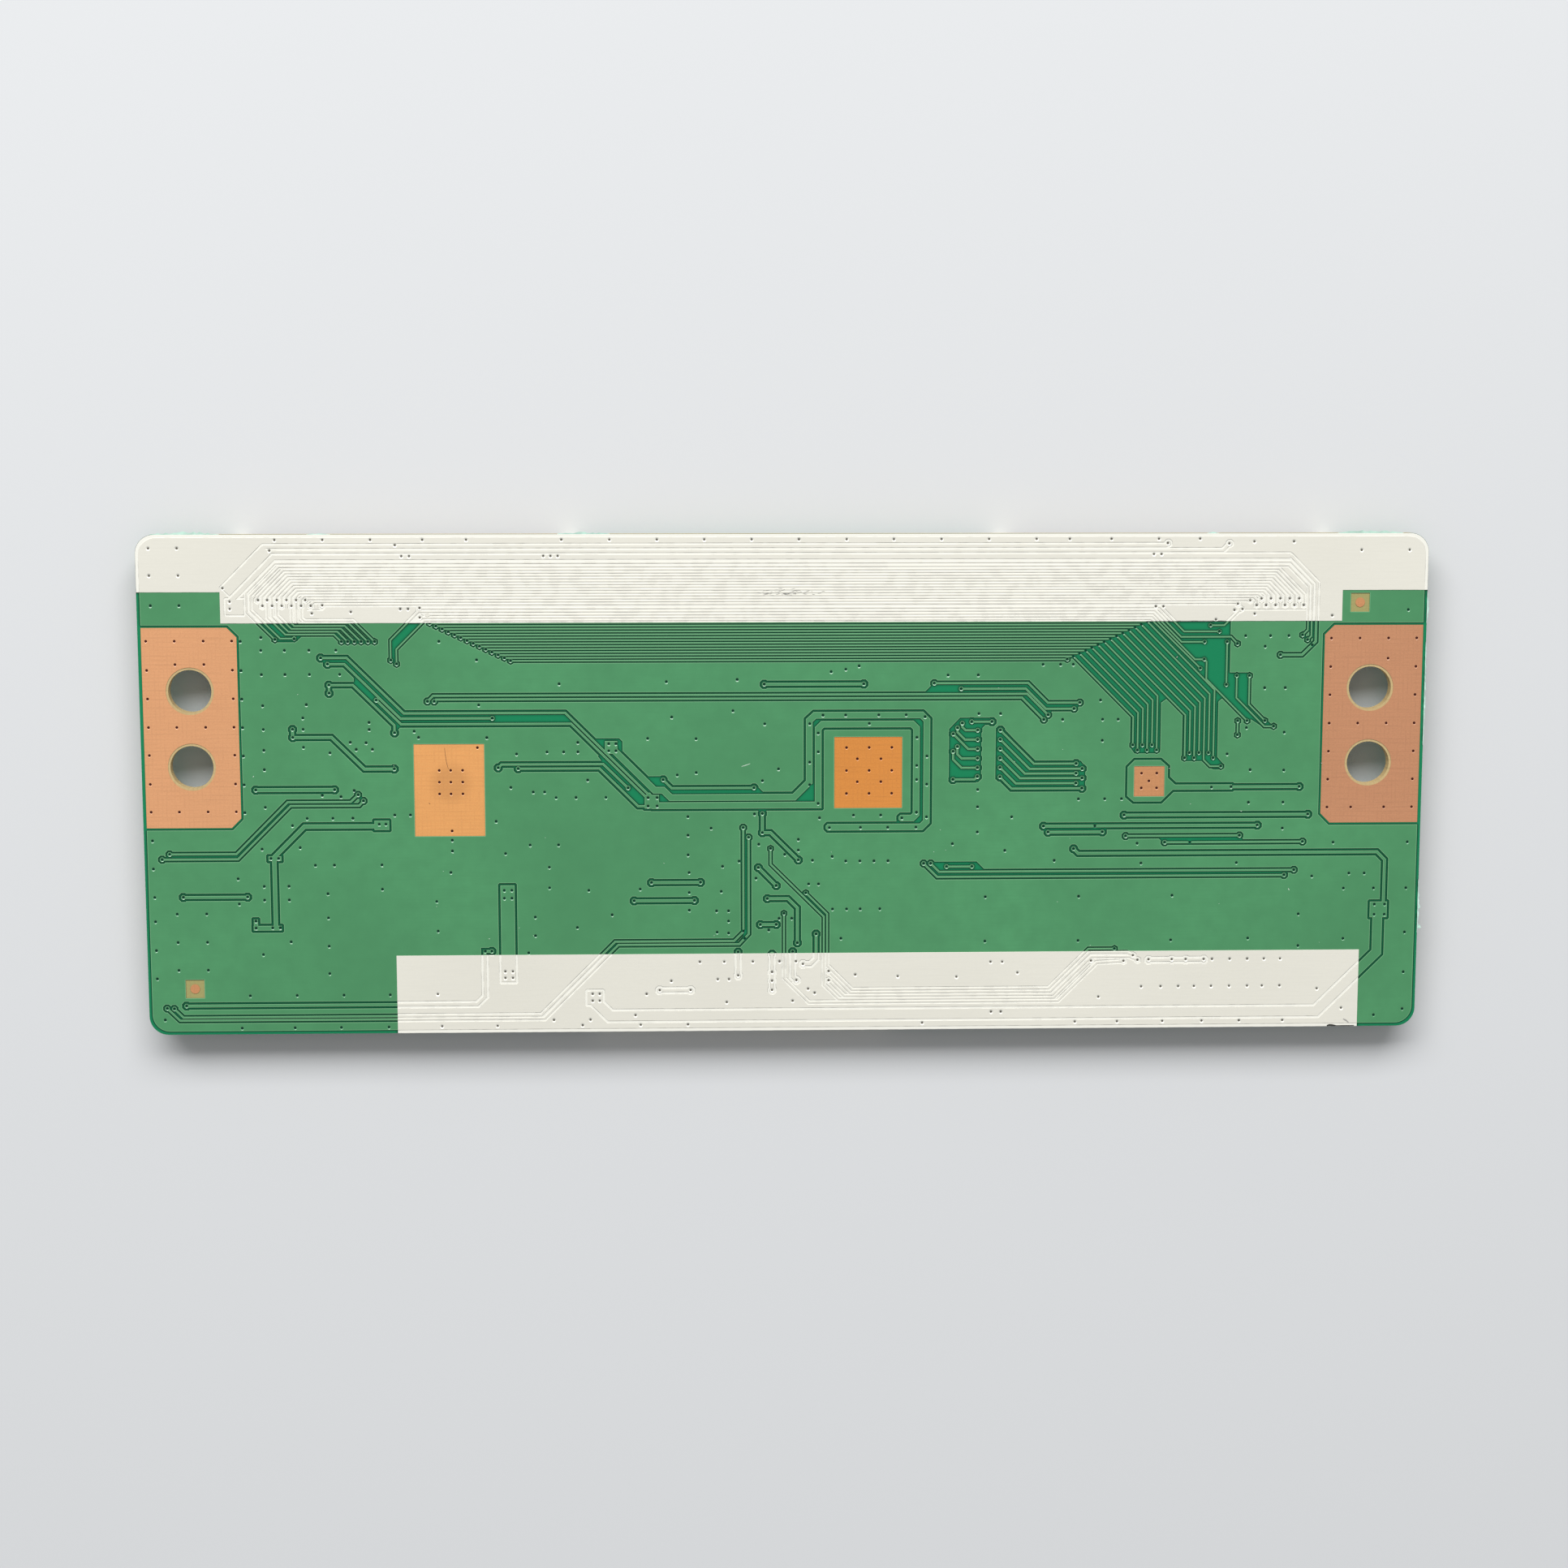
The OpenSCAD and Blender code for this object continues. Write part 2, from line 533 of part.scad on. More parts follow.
// Five parallel tracks from the middle of the board to lands on the right
data_pitch = 0.34;
data_w = 0.18;
data_y0 = -22.1;
data_left = [
    [[2, -11.6], [4.28, -13.88], [4.28, -19.45], [6.93, -22.1]],
    [[4.45, -20.1], [6.77, -22.44]],
    [[4.45, -21.1], [6.13, -22.78]],
    [[-1.75, -6.8], [-1.75, -8.5], [3.92, -14.17], [3.92, -21.52], [5.52, -23.12]],
    [[-0.33, -13.8], [-0.33, -20.8], [2.33, -23.46]]
];
data_right = [
    [[32.3, -17.85], [35.1, -17.85]],
    [[32.45, -18.25], [36.45, -18.25], [37.1, -18.6]],
    [[32.6, -18.7], [36.7, -18.7], [37.6, -19.1]],
    [[32.55, -19.2]],
    [[33.2, -19.35], [36.1, -19.2]]
];
function data_turn(i) = let (e = data_right[i][0], y = data_y0 - i * data_pitch) [e.x - (e.y - y), y];
data_routes = [for (i = [0 : 4]) concat(data_left[i], [data_turn(i)], data_right[i])];

// Track from the right pad of the input supply along the board
sense_route = [[30.55, -7], [31.05, -7.5], [63.15, -7.5], [64, -8.35], [64, -13.2]];

// Octagonal island around the gamma buffer's pad
gamma_island = [[36.2, -1.35], [36.9, -1.95], [39.8, -1.95], [41.05, -0.7], [47.4, -0.7], [47.4, -0.15],
                [41.3, -0.15], [40.5, 0.6], [40.5, 1.8], [39.7, 2.5], [36.95, 2.5], [36.2, 1.75]];
gamma_route = [[47, -0.42], [54.6, -0.42]];

// Gaps by name, as flat shapes
module gap_shape(name) {
    if (name == "bus")
        track_gap(bundle_routes, bus_w, bus_gap, bus_land_d, bus_sides) {
            polygon(spread_all(bundle_floor));
            polygon(spread_all(middle_floor));
        }
    if (name == "fan")
        track_gap(fan_routes, bus_w, bus_gap, bus_land_d, bus_sides)
            for (outline = fan_floors)
                polygon(spread_all(outline));
    if (name == "panel_supply")
        gap_around(gap = panel_gap)
            panel_copper();
    if (name == "memory_left")
        track_gap(memory_left_routes, thin_w, gap_w)
            polygon(spread_all(memory_left_floor));
    if (name == "memory_right")
        track_gap(memory_right_routes, thin_w, gap_w)
            polygon(spread_all(memory_right_floor));
    if (name == "feeds")
        gap_around(feed_floors)
            feed_copper();
    if (name == "input_supply")
        gap_around()
            plate(supply_routes, supply_w, supply_pads);
    if (name == "wide_plain")
        track_gap(wide_plain_routes, wide_plain_w);
    if (name == "regulator_bar")
        gap_around()
            strips([regulator_bar], regulator_bar_w);
    if (name == "input_bar")
        gap_around()
            input_copper();
    if (name == "lower_pair")
        track_gap(lower_pair_routes, thin_w, 0.2);
    if (name == "data")
        track_gap(data_routes, data_w, data_pitch - data_w + eps, bus_land_d, bus_sides);
    if (name == "gamma")
        gap_around()
            gamma_copper();
}

// Gap of even width around any flat copper shape, with extra bare floor
module gap_around(floors = [], gap = gap_w) {
    difference() {
        union() {
            offset(delta = gap, chamfer = true)
                children();
            for (outline = floors)
                polygon(spread_all(outline));
        }
        children();
    }
}

module panel_copper() {
    strips([panel_broad_route], panel_w);
    strips([panel_upper_route], panel_upper_w);
    strips([panel_middle_route], panel_middle_w);
    strips([panel_lower_route], panel_lower_w);
    strips([panel_end_route], panel_end_w);
    pad_rect(panel_pad);
    lands([for (r = [panel_upper_route, panel_middle_route, panel_end_route]) r[len(r) - 1]], land_d);
}

module gamma_copper() {
    polygon(spread_all(gamma_island));
    strips([gamma_route], track_w);
    lands([gamma_route[1]], land_d);
}

module input_copper() {
    plate([input_bar_route], input_bar_w, input_pads);
    strips([sense_route], track_w);
    lands([sense_route[0]], land_d);
}

module feed_copper() {
    plate(feed_wide_routes, feed_wide_w, feed_pads);
    strips(feed_routes, feed_w);
    lands(concat(both_ends(feed_routes), [feed_routes[2][1]]), land_d);
    lands([for (r = feed_wide_routes) r[len(r) - 1]], feed_wide_w);
}

// Wide strips that end in rectangular pads
module plate(routes, width, pads) {
    strips(routes, width);
    for (pad = pads)
        pad_rect(pad);
}

// Part of a flat shape that shows in one zone of the solder side
module in_zone(zone) {
    if (zone == "mask")
        difference() {
            children();
            upper_band_shape();
            lower_band_shape();
        }
    if (zone == "upper")
        intersection() {
            children();
            upper_band_shape();
        }
    if (zone == "lower")
        intersection() {
            children();
            lower_band_shape();
        }
}

// One groove of a film whose face is at level top
module groove(zone, top, depth) {
    translate([0, 0, top - depth])
        linear_extrude(depth + 1)
            offset(delta = 0)
                in_zone(zone)
                    children();
}

mask_gaps = ["bus", "fan", "panel_supply", "memory_left", "memory_right", "feeds", "input_supply",
             "wide_plain", "regulator_bar", "input_bar", "lower_pair", "data", "gamma"];
upper_gaps = ["bus", "fan", "panel_supply"];
lower_gaps = ["regulator_bar", "input_bar", "lower_pair", "data"];

// The rim along the edge, where no copper lifts the film
module rim_step(top, depth) {
    translate([0, 0, top - depth])
        linear_extrude(depth + 1)
            difference() {
                square([board_w + 2, board_d + 2], center = true);
                board_outline(rim_w);
            }
}

// Laminate and films

module board_laminate() {
    color(laminate)
        translate([0, 0, z_front])
            linear_extrude(board_t)
                difference() {
                    board_outline();
                    at_holes()
                        circle(d = hole_d);
                }
}

module solder_mask_back() {
    color(mask_green)
        difference() {
            translate([0, 0, z_back])
                linear_extrude(mask_t)
                    difference() {
                        board_outline();
                        ground_pad_shape(-1);
                        ground_pad_shape(1);
                        pad_rect(controller_pad);
                        pad_rect(regulator_pad);
                        pad_rect(gamma_pad);
                        for (p = fiducials_at)
                            translate(p)
                                square(fiducial_window, center = true);
                    }
            for (name = mask_gaps)
                groove("mask", z_mask, relief)
                    gap_shape(name);
            for (group = concat(lone_groups, lower_groups))
                groove("mask", z_mask, relief)
                    track_gap(group);
            for (i = [0 : len(pair_groups) - 1])
                groove("mask", z_mask, relief)
                    track_gap(pair_groups[i], thin_w, 0.2)
                        polygon(spread_all(pair_floors[i]));
            for (side = [-1, 1])
                groove("mask", z_mask, relief)
                    gap_around()
                        ground_pad_shape(side);
            difference() {
                rim_step(z_mask, relief);
                ink_bands_block();
            }
        }
}

// Space over the two ink bands
module ink_bands_block() {
    translate([0, 0, z_back])
        linear_extrude(2) {
            upper_band_shape();
            lower_band_shape();
        }
}

module solder_mask_front() {
    color(mask_green)
        translate([0, 0, z_seat])
            linear_extrude(front_t)
                difference() {
                    board_outline();
                    at_holes()
                        circle(d = hole_d + 2 * hole_ring);
                }
}

module legend_band_upper() {
    top = z_mask + ink_t;
    color(ink_white)
        difference() {
            translate([0, 0, z_mask])
                linear_extrude(ink_t)
                    upper_band_shape();
            for (name = upper_gaps)
                groove("upper", top, ink_relief)
                    gap_shape(name);
            rim_step(top, ink_relief);
        }
}

module legend_band_lower() {
    top = z_mask + ink_t;
    color(ink_white)
        difference() {
            translate([0, 0, z_mask])
                linear_extrude(ink_t)
                    lower_band_shape();
            for (name = lower_gaps)
                groove("lower", top, ink_relief)
                    gap_shape(name);
            for (group = concat(lower_groups, band_groups))
                groove("lower", top, ink_relief)
                    track_gap(group);
            rim_step(top, ink_relief);
        }
}

// Bare copper

module copper_plate() {
    color(copper)
        translate([0, 0, z_back])
            linear_extrude(copper_t)
                children();
}

module ground_pad(side) {
    copper_plate()
        difference() {
            ground_pad_shape(side);
            at_holes(side)
                circle(d = hole_d + 2 * hole_ring);
        }
}

module ground_pad_left() {
    ground_pad(-1);
}

module ground_pad_right() {
    ground_pad(1);
}

module heat_pad_regulator() {
    copper_plate()
        pad_rect(regulator_pad);
}

module heat_pad_controller() {
    copper_plate()
        pad_rect(controller_pad);
}

module heat_pad_gamma() {
    copper_plate()
        pad_rect(gamma_pad);
}

module fiducial_dots() {
    copper_plate()
        for (p = fiducials_at)
            translate(p)
                circle(d = fiducial_d);
}

// Component side: children are built upward from the board and then turned down

module below(at = [0, 0], turn = 0) {
    translate([at.x, at.y, z_seat])
        mirror([0, 0, 1])
            rotate(turn)
                children();
}

module chip_place(at, turn = 0) {
    below(spread(at), turn)
        children();
}

module block(size) {
    translate([-size.x / 2, -size.y / 2, 0])
        cube(size);
}

module chamfered_block(size, c) {
    x = size.x / 2;
    y = size.y / 2;
    linear_extrude(size.z)
        polygon([[-x + c, -y], [x - c, -y], [x, -y + c], [x, y - c],
                 [x - c, y], [-x + c, y], [-x, y - c], [-x, -y + c]]);
}

// A bent lead that leaves a body at height h, runs out, drops and ends in a foot
module gull_lead(run, foot, h, t, w) {
    translate([0, w / 2, 0])
        rotate([90, 0, 0])
            linear_extrude(w)
                polygon([[0, h], [0, h + t], [run + t, h + t], [run + t, t], [run + foot, t], [run + foot, 0],
                         [run, 0], [run, h]]);
}

module lead_row(n, pitch, reach, run, foot, h, t, w) {
    for (i = [0 : n - 1])
        translate([reach, (i - (n - 1) / 2) * pitch, 0])
            gull_lead(run, foot, h, t, w);
}

// Controller, a quad flat pack on a heat slug

controller_pitch = 0.5;
slug_t = 0.1;
controller_h = 1.4;

module controller_body() {
    color(black_resin)
        chip_place(controller_at)
            translate([0, 0, slug_t])
                difference() {
                    chamfered_block([controller_side, controller_side, controller_h], 0.6);
                    translate([-controller_side / 2 + 1.6, -controller_side / 2 + 1.6, controller_h - 0.1])
                        cylinder(d = 1.2, h = 1);
                }
}

module controller_leads() {
    color(tin)
        chip_place(controller_at)
            for (side = [0 : 3])
                rotate(90 * side)
                    lead_row(controller_leads_n, controller_pitch, controller_side / 2,
                             0.4, 0.6, 0.65, 0.12, 0.22);
}

module controller_slug() {
    color(tin)
        chip_place(controller_at)
            block([controller_pad[1].x - 0.4, controller_pad[1].x - 0.4, slug_t]);
}

// Leadless packs on flat terminals

terminal_t = 0.05;

module leadless_body(side, h) {
    translate([0, 0, terminal_t])
        difference() {
            block([side, side, h]);
            translate([-side / 2 + 0.8, -side / 2 + 0.8, h - 0.05])
                cylinder(d = 0.6, h = 1);
        }
}

module leadless_terminals(side, n) {
    for (turn = [0 : 90 : 270])
        rotate(turn)
            for (i = [0 : n - 1])
                translate([side / 2 - 0.25, (i - (n - 1) / 2) * 0.5, 0])
                    block([0.5, 0.25, terminal_t]);
    block([side - 2.4, side - 2.4, terminal_t]);
}

module regulator_body() {
    color(black_resin)
        chip_place(regulator_at)
            leadless_body(regulator_side, 0.85);
}

module regulator_terminals() {
    color(tin)
        chip_place(regulator_at)
            leadless_terminals(regulator_side, floor(regulator_side / 0.5) - 2);
}

module gamma_body() {
    color(black_resin)
        chip_place(gamma_at)
            leadless_body(gamma_side, 0.75);
}

module gamma_terminals() {
    color(tin)
        chip_place(gamma_at)
            leadless_terminals(gamma_side, floor(gamma_side / 0.5) - 2);
}

// Memory in a small outline pack

memory_d = 3.9;
memory_stand = 0.15;

module memory_body() {
    color(black_resin)
        chip_place(memory_at)
            translate([0, 0, memory_stand])
                difference() {
                    block([memory_l, memory_d, 1.45]);
                    translate([-memory_l / 2 + 0.8, -memory_d / 2 + 0.8, 1.35])
                        cylinder(d = 0.7, h = 1);
                }
}

module memory_leads() {
    color(tin)
        chip_place(memory_at)
            for (turn = [90, 270])
                rotate(turn)
                    lead_row(4, 1.27, memory_d / 2, 0.35, 0.7, 0.75, 0.2, 0.42);
}

// Sockets: local Y points to the cable side

slot_floor = 0.3;
slot_h = 0.7;
slot_margin = 0.4;
end_margin = 3;
recess_depth = 2.4;
contact_w = 0.25;
contact_t = 0.15;
tail_l = 1.1;
output_l = output_pins * pin_pitch + 2 * end_margin;
input_l = input_pins * pin_pitch + 2 * end_margin;
recess_floor = slot_floor + slot_h;
knuckle_r = (socket_h - recess_floor) / 2 - lock_gap;
pivot_v = socket_depth - 1.5;
pivot_w = recess_floor + (socket_h - recess_floor) / 2;
pivot_pin_r = 0.55 * knuckle_r;
lock_t = 1.15 * knuckle_r;
shell_t = 0.2;

module output_place(side) {
    below([side * (board_w / 2 - output_inset), board_d / 2 - setback - socket_depth])
        children();
}

module input_place() {
    below([input_x, -board_d / 2 + setback + socket_depth], 180)
        children();
}

module socket_block(length, pins, height) {
    slot_l = pins * pin_pitch + 2 * slot_margin;
    difference() {
        translate([-length / 2, 0, 0])
            cube([length, socket_depth, height]);
        translate([-slot_l / 2, -1, slot_floor])
            cube([slot_l, socket_depth + 2, slot_h]);
    }
}

module output_housing() {
    inner = output_l - 2 * ear_w;
    color(ivory)
        difference() {
            socket_block(output_l, output_pins, socket_h);
            translate([-inner / 2, socket_depth - recess_depth, recess_floor])
                cube([inner, recess_depth + 1, socket_h]);
            translate([-output_l / 2 - 1, pivot_v, pivot_w])
                rotate([0, 90, 0])
                    cylinder(r = pivot_pin_r + lock_gap / 2, h = output_l + 2);
        }
}

// Contact tails stand on the board behind the housing, and their beams lie on the slot's floor
module contact_row(pins) {
    color(tin)
        for (i = [0 : pins - 1])
            translate([(i - (pins - 1) / 2) * pin_pitch - contact_w / 2, 0, 0])
                rotate([90, 0, 90])
                    linear_extrude(contact_w)
                        polygon([
                            [socket_depth - 1.3, slot_floor], [socket_depth - 1.3, slot_floor + contact_t],
                            [-0.45, slot_floor + contact_t], [-0.45, contact_t], [-tail_l, contact_t],
                            [-tail_l, 0], [-0.3, 0], [-0.3, slot_floor]
                        ]);
}

module socket_tabs() {
    color(tin)
        for (side = [0, 1])
            mirror([side, 0, 0])
                translate([output_l / 2, 3, 0])
                    rotate([90, 0, 0])
                        linear_extrude(2)
                            polygon([[0, 0], [1.1, 0], [1.1, 0.25], [0.25, 0.25], [0.25, 1.3], [0, 1.3]]);
}

module lock_bar() {
    bar = output_l - 2 * ear_w - 2 * lock_gap;
    pin_l = bar + 2 * ear_w;
    color(brown_resin)
        translate([0, pivot_v, pivot_w])
            rotate([90, 0, 90]) {
                translate([0, 0, -bar / 2])
                    linear_extrude(bar)
                        union() {
                            circle(knuckle_r);
                            translate([0, -lock_t / 2])
                                square([socket_depth - pivot_v - lock_gap, lock_t]);
                        }
                translate([0, 0, -pin_l / 2])
                    cylinder(r = pivot_pin_r, h = pin_l);
            }
}

module left_socket_housing() {
    output_place(-1)
        output_housing();
}

module left_socket_contacts() {
    output_place(-1)
        contact_row(output_pins);
}

module left_socket_tabs() {
    output_place(-1)
        socket_tabs();
}

module left_lock_bar() {
    output_place(-1)
        lock_bar();
}

module right_socket_housing() {
    output_place(1)
        output_housing();
}

module right_socket_contacts() {
    output_place(1)
        contact_row(output_pins);
}

module right_socket_tabs() {
    output_place(1)
        socket_tabs();
}

module right_lock_bar() {
    output_place(1)
        lock_bar();
}

module input_socket_housing() {
    color(ivory)
        input_place()
            socket_block(input_l, input_pins, socket_h - shell_t);
}

module input_socket_contacts() {
    input_place()
        contact_row(input_pins);
}

// Sheet metal cover that wraps the top and both ends of the input socket
module input_socket_shell() {
    color(tin)
        input_place()
            translate([0, 0.6, 0])
                difference() {
                    translate([-input_l / 2 - shell_t, 0, 0])
                        cube([input_l + 2 * shell_t, socket_depth - 1, socket_h]);
                    translate([-input_l / 2, -1, -1])
                        cube([input_l, socket_depth + 2, socket_h - shell_t + 1]);
                    for (x = [-0.3, 0, 0.3])
                        translate([x * input_l, 1.8, socket_h - shell_t - eps])
                            block([2.4, 1, 1]);
                }
}

// Power inductors: ferrite blocks on two plate terminals

inductors_at = [[-45.5, -9.5], [-25, 2.5]];
inductor_side = 6;
plate_t = 0.1;

module inductor_cores() {
    color(ferrite)
        for (p = inductors_at)
            chip_place(p)
                translate([0, 0, plate_t])
                    chamfered_block([inductor_side, inductor_side, inductor_h - plate_t], 0.8);
}

module inductor_terminals() {
    color(tin)
        for (p = inductors_at)
            chip_place(p)
                for (x = [-1, 1])
                    translate([x * (inductor_side / 2 - 0.7), 0, 0])
                        block([1.4, inductor_side - 1.8, plate_t]);
}

// Diodes: moulded bodies with bent tabs

diodes_at = [[-45.5, 2, 0], [-25, 10, 0]];
diode_l = 4.3;
diode_d = 2.6;

module diode_bodies() {
    color(black_resin)
        for (p = diodes_at)
            chip_place(p, p.z)
                translate([0, 0, 0.1])
                    chamfered_block([diode_l, diode_d, diode_h - 0.1], 0.2);
}

module diode_tabs() {
    color(tin)
        for (p = diodes_at)
            chip_place(p, p.z)
                for (turn = [0, 180])
                    rotate(turn)
                        translate([diode_l / 2, 0, 0])
                            gull_lead(0.1, 0.7, 0.9, 0.2, 1.5);
}

// Two-ended chips: place and turn, with sizes [length, width, height]

bulk_size = [3.2, 1.6, 1.6];
chip_size = [1.6, 0.8, 0.8];
resistor_size = [1, 0.5, 0.35];
fuse_size = [3.2, 1.6, 0.9];
end_share = 0.2;

// Distance from the middle of the controller to the chips around it
controller_row = controller_side / 2 + 3.3;

bulk_at = concat(
    [for (i = [0 : 3]) [-41 + 2.6 * i, 8, 90]],
    [for (i = [0 : 2]) [-52.5, -6 - 2.6 * i, 0]],
    [for (i = [0 : 3]) [-38 + 2.6 * i, -9, 90]]
);
chips_at = concat(
    [for (i = [-3 : 3]) beside(controller_at, 2.3 * i, -controller_row, 90)],
    [for (i = [-3 : 3]) beside(controller_at, 2.3 * i, controller_row, 90)],
    [for (i = [-2 : 2]) beside(controller_at, -controller_row - 0.5, 2.1 * i, 0)],
    [for (i = [0 : 4]) [33.5, -4 + 2.1 * i, 0]],
    [for (i = [0 : 7]) [26 + 3.2 * i, 15.5, 90]],
    [for (i = [0 : 7]) [-26 - 3.2 * i, 15.5, 90]]
);
resistors_at = concat(
    [for (i = [0 : 9]) [-18 + 1.5 * i, -11, 90]],
    [for (i = [0 : 9]) [-2 + 1.5 * i, -14, 90]],
    [for (i = [0 : 7]) [36 + 2 * i, -12, 90]],
    [for (i = [0 : 7]) [37 + 1.8 * i, 8, 90]]
);
fuse_at = [[-29, -20, 90]];

module chip_bodies(places, size) {
    for (p = places)
        chip_place(p, p.z)
            block([size.x * (1 - 2 * end_share), size.y, size.z]);
}

module chip_ends(places, size) {
    end_l = size.x * end_share;
    color(tin)
        for (p = places, side = [-1, 1])
            chip_place(p, p.z)
                translate([side * (size.x - end_l) / 2, 0, 0])
                    block([end_l, size.y, size.z]);
}

module bulk_capacitor_bodies() {
    color(ceramic)
        chip_bodies(bulk_at, bulk_size);
}

module bulk_capacitor_ends() {
    chip_ends(bulk_at, bulk_size);
}

module chip_capacitor_bodies() {
    color(ceramic)
        chip_bodies(chips_at, chip_size);
}

module chip_capacitor_ends() {
    chip_ends(chips_at, chip_size);
}

module resistor_bodies() {
    color(black_resin)
        chip_bodies(resistors_at, resistor_size);
}

module resistor_ends() {
    chip_ends(resistors_at, resistor_size);
}

module fuse_body() {
    color(ivory)
        chip_bodies(fuse_at, fuse_size);
}

module fuse_ends() {
    chip_ends(fuse_at, fuse_size);
}

// Transistors: three-lead packs

transistors_at = [[-58, -13, 0], [-58, -18, 0], [30, -14, 0]];
transistor_size = [2.9, 1.3, 0.95];
transistor_stand = 0.1;

module transistor_bodies() {
    color(black_resin)
        for (p = transistors_at)
            chip_place(p, p.z)
                translate([0, 0, transistor_stand])
                    block(transistor_size);
}

module transistor_leads() {
    color(tin)
        for (p = transistors_at)
            chip_place(p, p.z) {
                rotate(90)
                    lead_row(2, 1.9, transistor_size.y / 2, 0.2, 0.45, 0.45, 0.12, 0.4);
                rotate(-90)
                    lead_row(1, 1.9, transistor_size.y / 2, 0.2, 0.45, 0.45, 0.12, 0.4);
            }
}

board_laminate();
solder_mask_back();
solder_mask_front();
legend_band_upper();
legend_band_lower();
ground_pad_left();
ground_pad_right();
heat_pad_regulator();
heat_pad_controller();
heat_pad_gamma();
fiducial_dots();
controller_body();
controller_leads();
controller_slug();
regulator_body();
regulator_terminals();
gamma_body();
gamma_terminals();
memory_body();
memory_leads();
left_socket_housing();
left_socket_contacts();
left_socket_tabs();
left_lock_bar();
right_socket_housing();
right_socket_contacts();
right_socket_tabs();
right_lock_bar();
input_socket_housing();
input_socket_contacts();
input_socket_shell();
inductor_cores();
inductor_terminals();
diode_bodies();
diode_tabs();
bulk_capacitor_bodies();
bulk_capacitor_ends();
chip_capacitor_bodies();
chip_capacitor_ends();
resistor_bodies();
resistor_ends();
transistor_bodies();
transistor_leads();
fuse_body();
fuse_ends();
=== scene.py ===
"""Looks of a display timing control board that lies with its solder side up.

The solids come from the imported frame. Films and pads get their via dimples here, every surface gets a
procedural finish, and the marks of cutting and use are laid on the board.
"""

import math
import random

import bmesh
import bpy
from bpy.props import FloatProperty, FloatVectorProperty, IntProperty, PointerProperty
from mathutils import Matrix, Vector


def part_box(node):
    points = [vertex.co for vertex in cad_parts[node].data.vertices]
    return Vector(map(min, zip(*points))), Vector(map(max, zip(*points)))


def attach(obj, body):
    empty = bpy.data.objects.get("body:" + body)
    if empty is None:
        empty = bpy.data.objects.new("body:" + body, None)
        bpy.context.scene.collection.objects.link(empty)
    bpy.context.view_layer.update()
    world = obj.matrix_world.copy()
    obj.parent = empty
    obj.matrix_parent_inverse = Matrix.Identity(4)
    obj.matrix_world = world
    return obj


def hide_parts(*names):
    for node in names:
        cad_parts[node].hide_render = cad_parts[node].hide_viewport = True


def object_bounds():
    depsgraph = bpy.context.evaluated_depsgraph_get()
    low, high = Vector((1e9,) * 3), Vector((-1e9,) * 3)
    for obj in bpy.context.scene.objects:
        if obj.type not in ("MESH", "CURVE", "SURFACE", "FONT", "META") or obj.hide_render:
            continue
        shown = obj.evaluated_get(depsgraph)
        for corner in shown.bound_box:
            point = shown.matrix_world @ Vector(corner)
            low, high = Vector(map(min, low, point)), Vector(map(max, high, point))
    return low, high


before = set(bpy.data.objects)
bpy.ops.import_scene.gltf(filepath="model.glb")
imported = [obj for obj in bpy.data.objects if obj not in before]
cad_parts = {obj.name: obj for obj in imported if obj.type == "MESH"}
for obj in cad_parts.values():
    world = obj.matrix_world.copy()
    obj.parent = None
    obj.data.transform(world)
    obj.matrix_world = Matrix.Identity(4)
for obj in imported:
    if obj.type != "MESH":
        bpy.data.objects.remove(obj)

bl_info = {
    "name": "Timing control board",
    "version": (1, 0, 0),
    "blender": (4, 5, 0),
    "location": "3D View > Sidebar > Board",
    "description": "Dresses the packed solids of a display timing control board",
    "category": "Object",
}

MM = 0.001
CAD_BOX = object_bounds()
MASK_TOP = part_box("solder_mask_back")[1].z
INK_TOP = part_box("legend_band_upper")[1].z
PAD_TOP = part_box("ground_pad_left")[1].z
LAMINATE_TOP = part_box("board_laminate")[1].z
FRONT_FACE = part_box("solder_mask_front")[0].z
RELIEF = 0.05 * MM
INK_RELIEF = 0.025 * MM


# Places of the vias, in millimetres from the middle of the board


def row(y, *xs):
    return [(x, y) for x in xs]


def column(x, *ys):
    return [(x, y) for y in ys]


def grid(xs, ys):
    return [(x, y) for x in xs for y in ys]


UPPER_BAND_VIAS = [
    *row(25.05, -66.35, -63.4), *row(22.22, -66.35, -63.35), (-58.8, 20.9), *column(-58.1, 19.5, 18.75),
    *row(25.9, -53.3, -48.35, -43.4, -38.0, -33.45, -23.55, -18.55, -13.6, -8.65, -3.7, 1.25, 6.25),
    *row(25.9, 11.2, 16.2, 21.2, 26.2, 29.7, 34.1, 39.1, 43.45), (-40.85, 25.35), (-53.85, 24.8),
    *row(24.2, -40.2, -39.4, -25.45, -24.7, -23.95), *row(24.3, 38.6, 39.4),
    *row(19.65, -55.15, -54.2, -53.2, -52.2, -51.2, -50.25),
    *row(19.05, -54.7, -53.7, -52.7, -51.7, -50.7, -49.7), (-48.5, 19.1), (-49.6, 18.25), (-45.55, 18.4),
    *row(18.7, -40.4, -39.6), *column(-38.4, 18.8, 17.8), (40.05, 25.45), (46.55, 25.4),
    *row(25.6, 49.2, 53.4), *row(24.7, 60.6, 65.7), *row(19.6, 50.1, 51.1, 52.1, 53.1, 54.1),
    *row(18.9, 49.6, 50.6, 51.6, 52.6, 53.6, 54.6), (57.65, 17.8), (48.9, 19.4), (47.6, 19.05),
    (47.25, 18.4), (48.1, 18.5), (49.4, 18.0), (45.3, 17.4), *row(18.8, 38.9, 39.7),
]
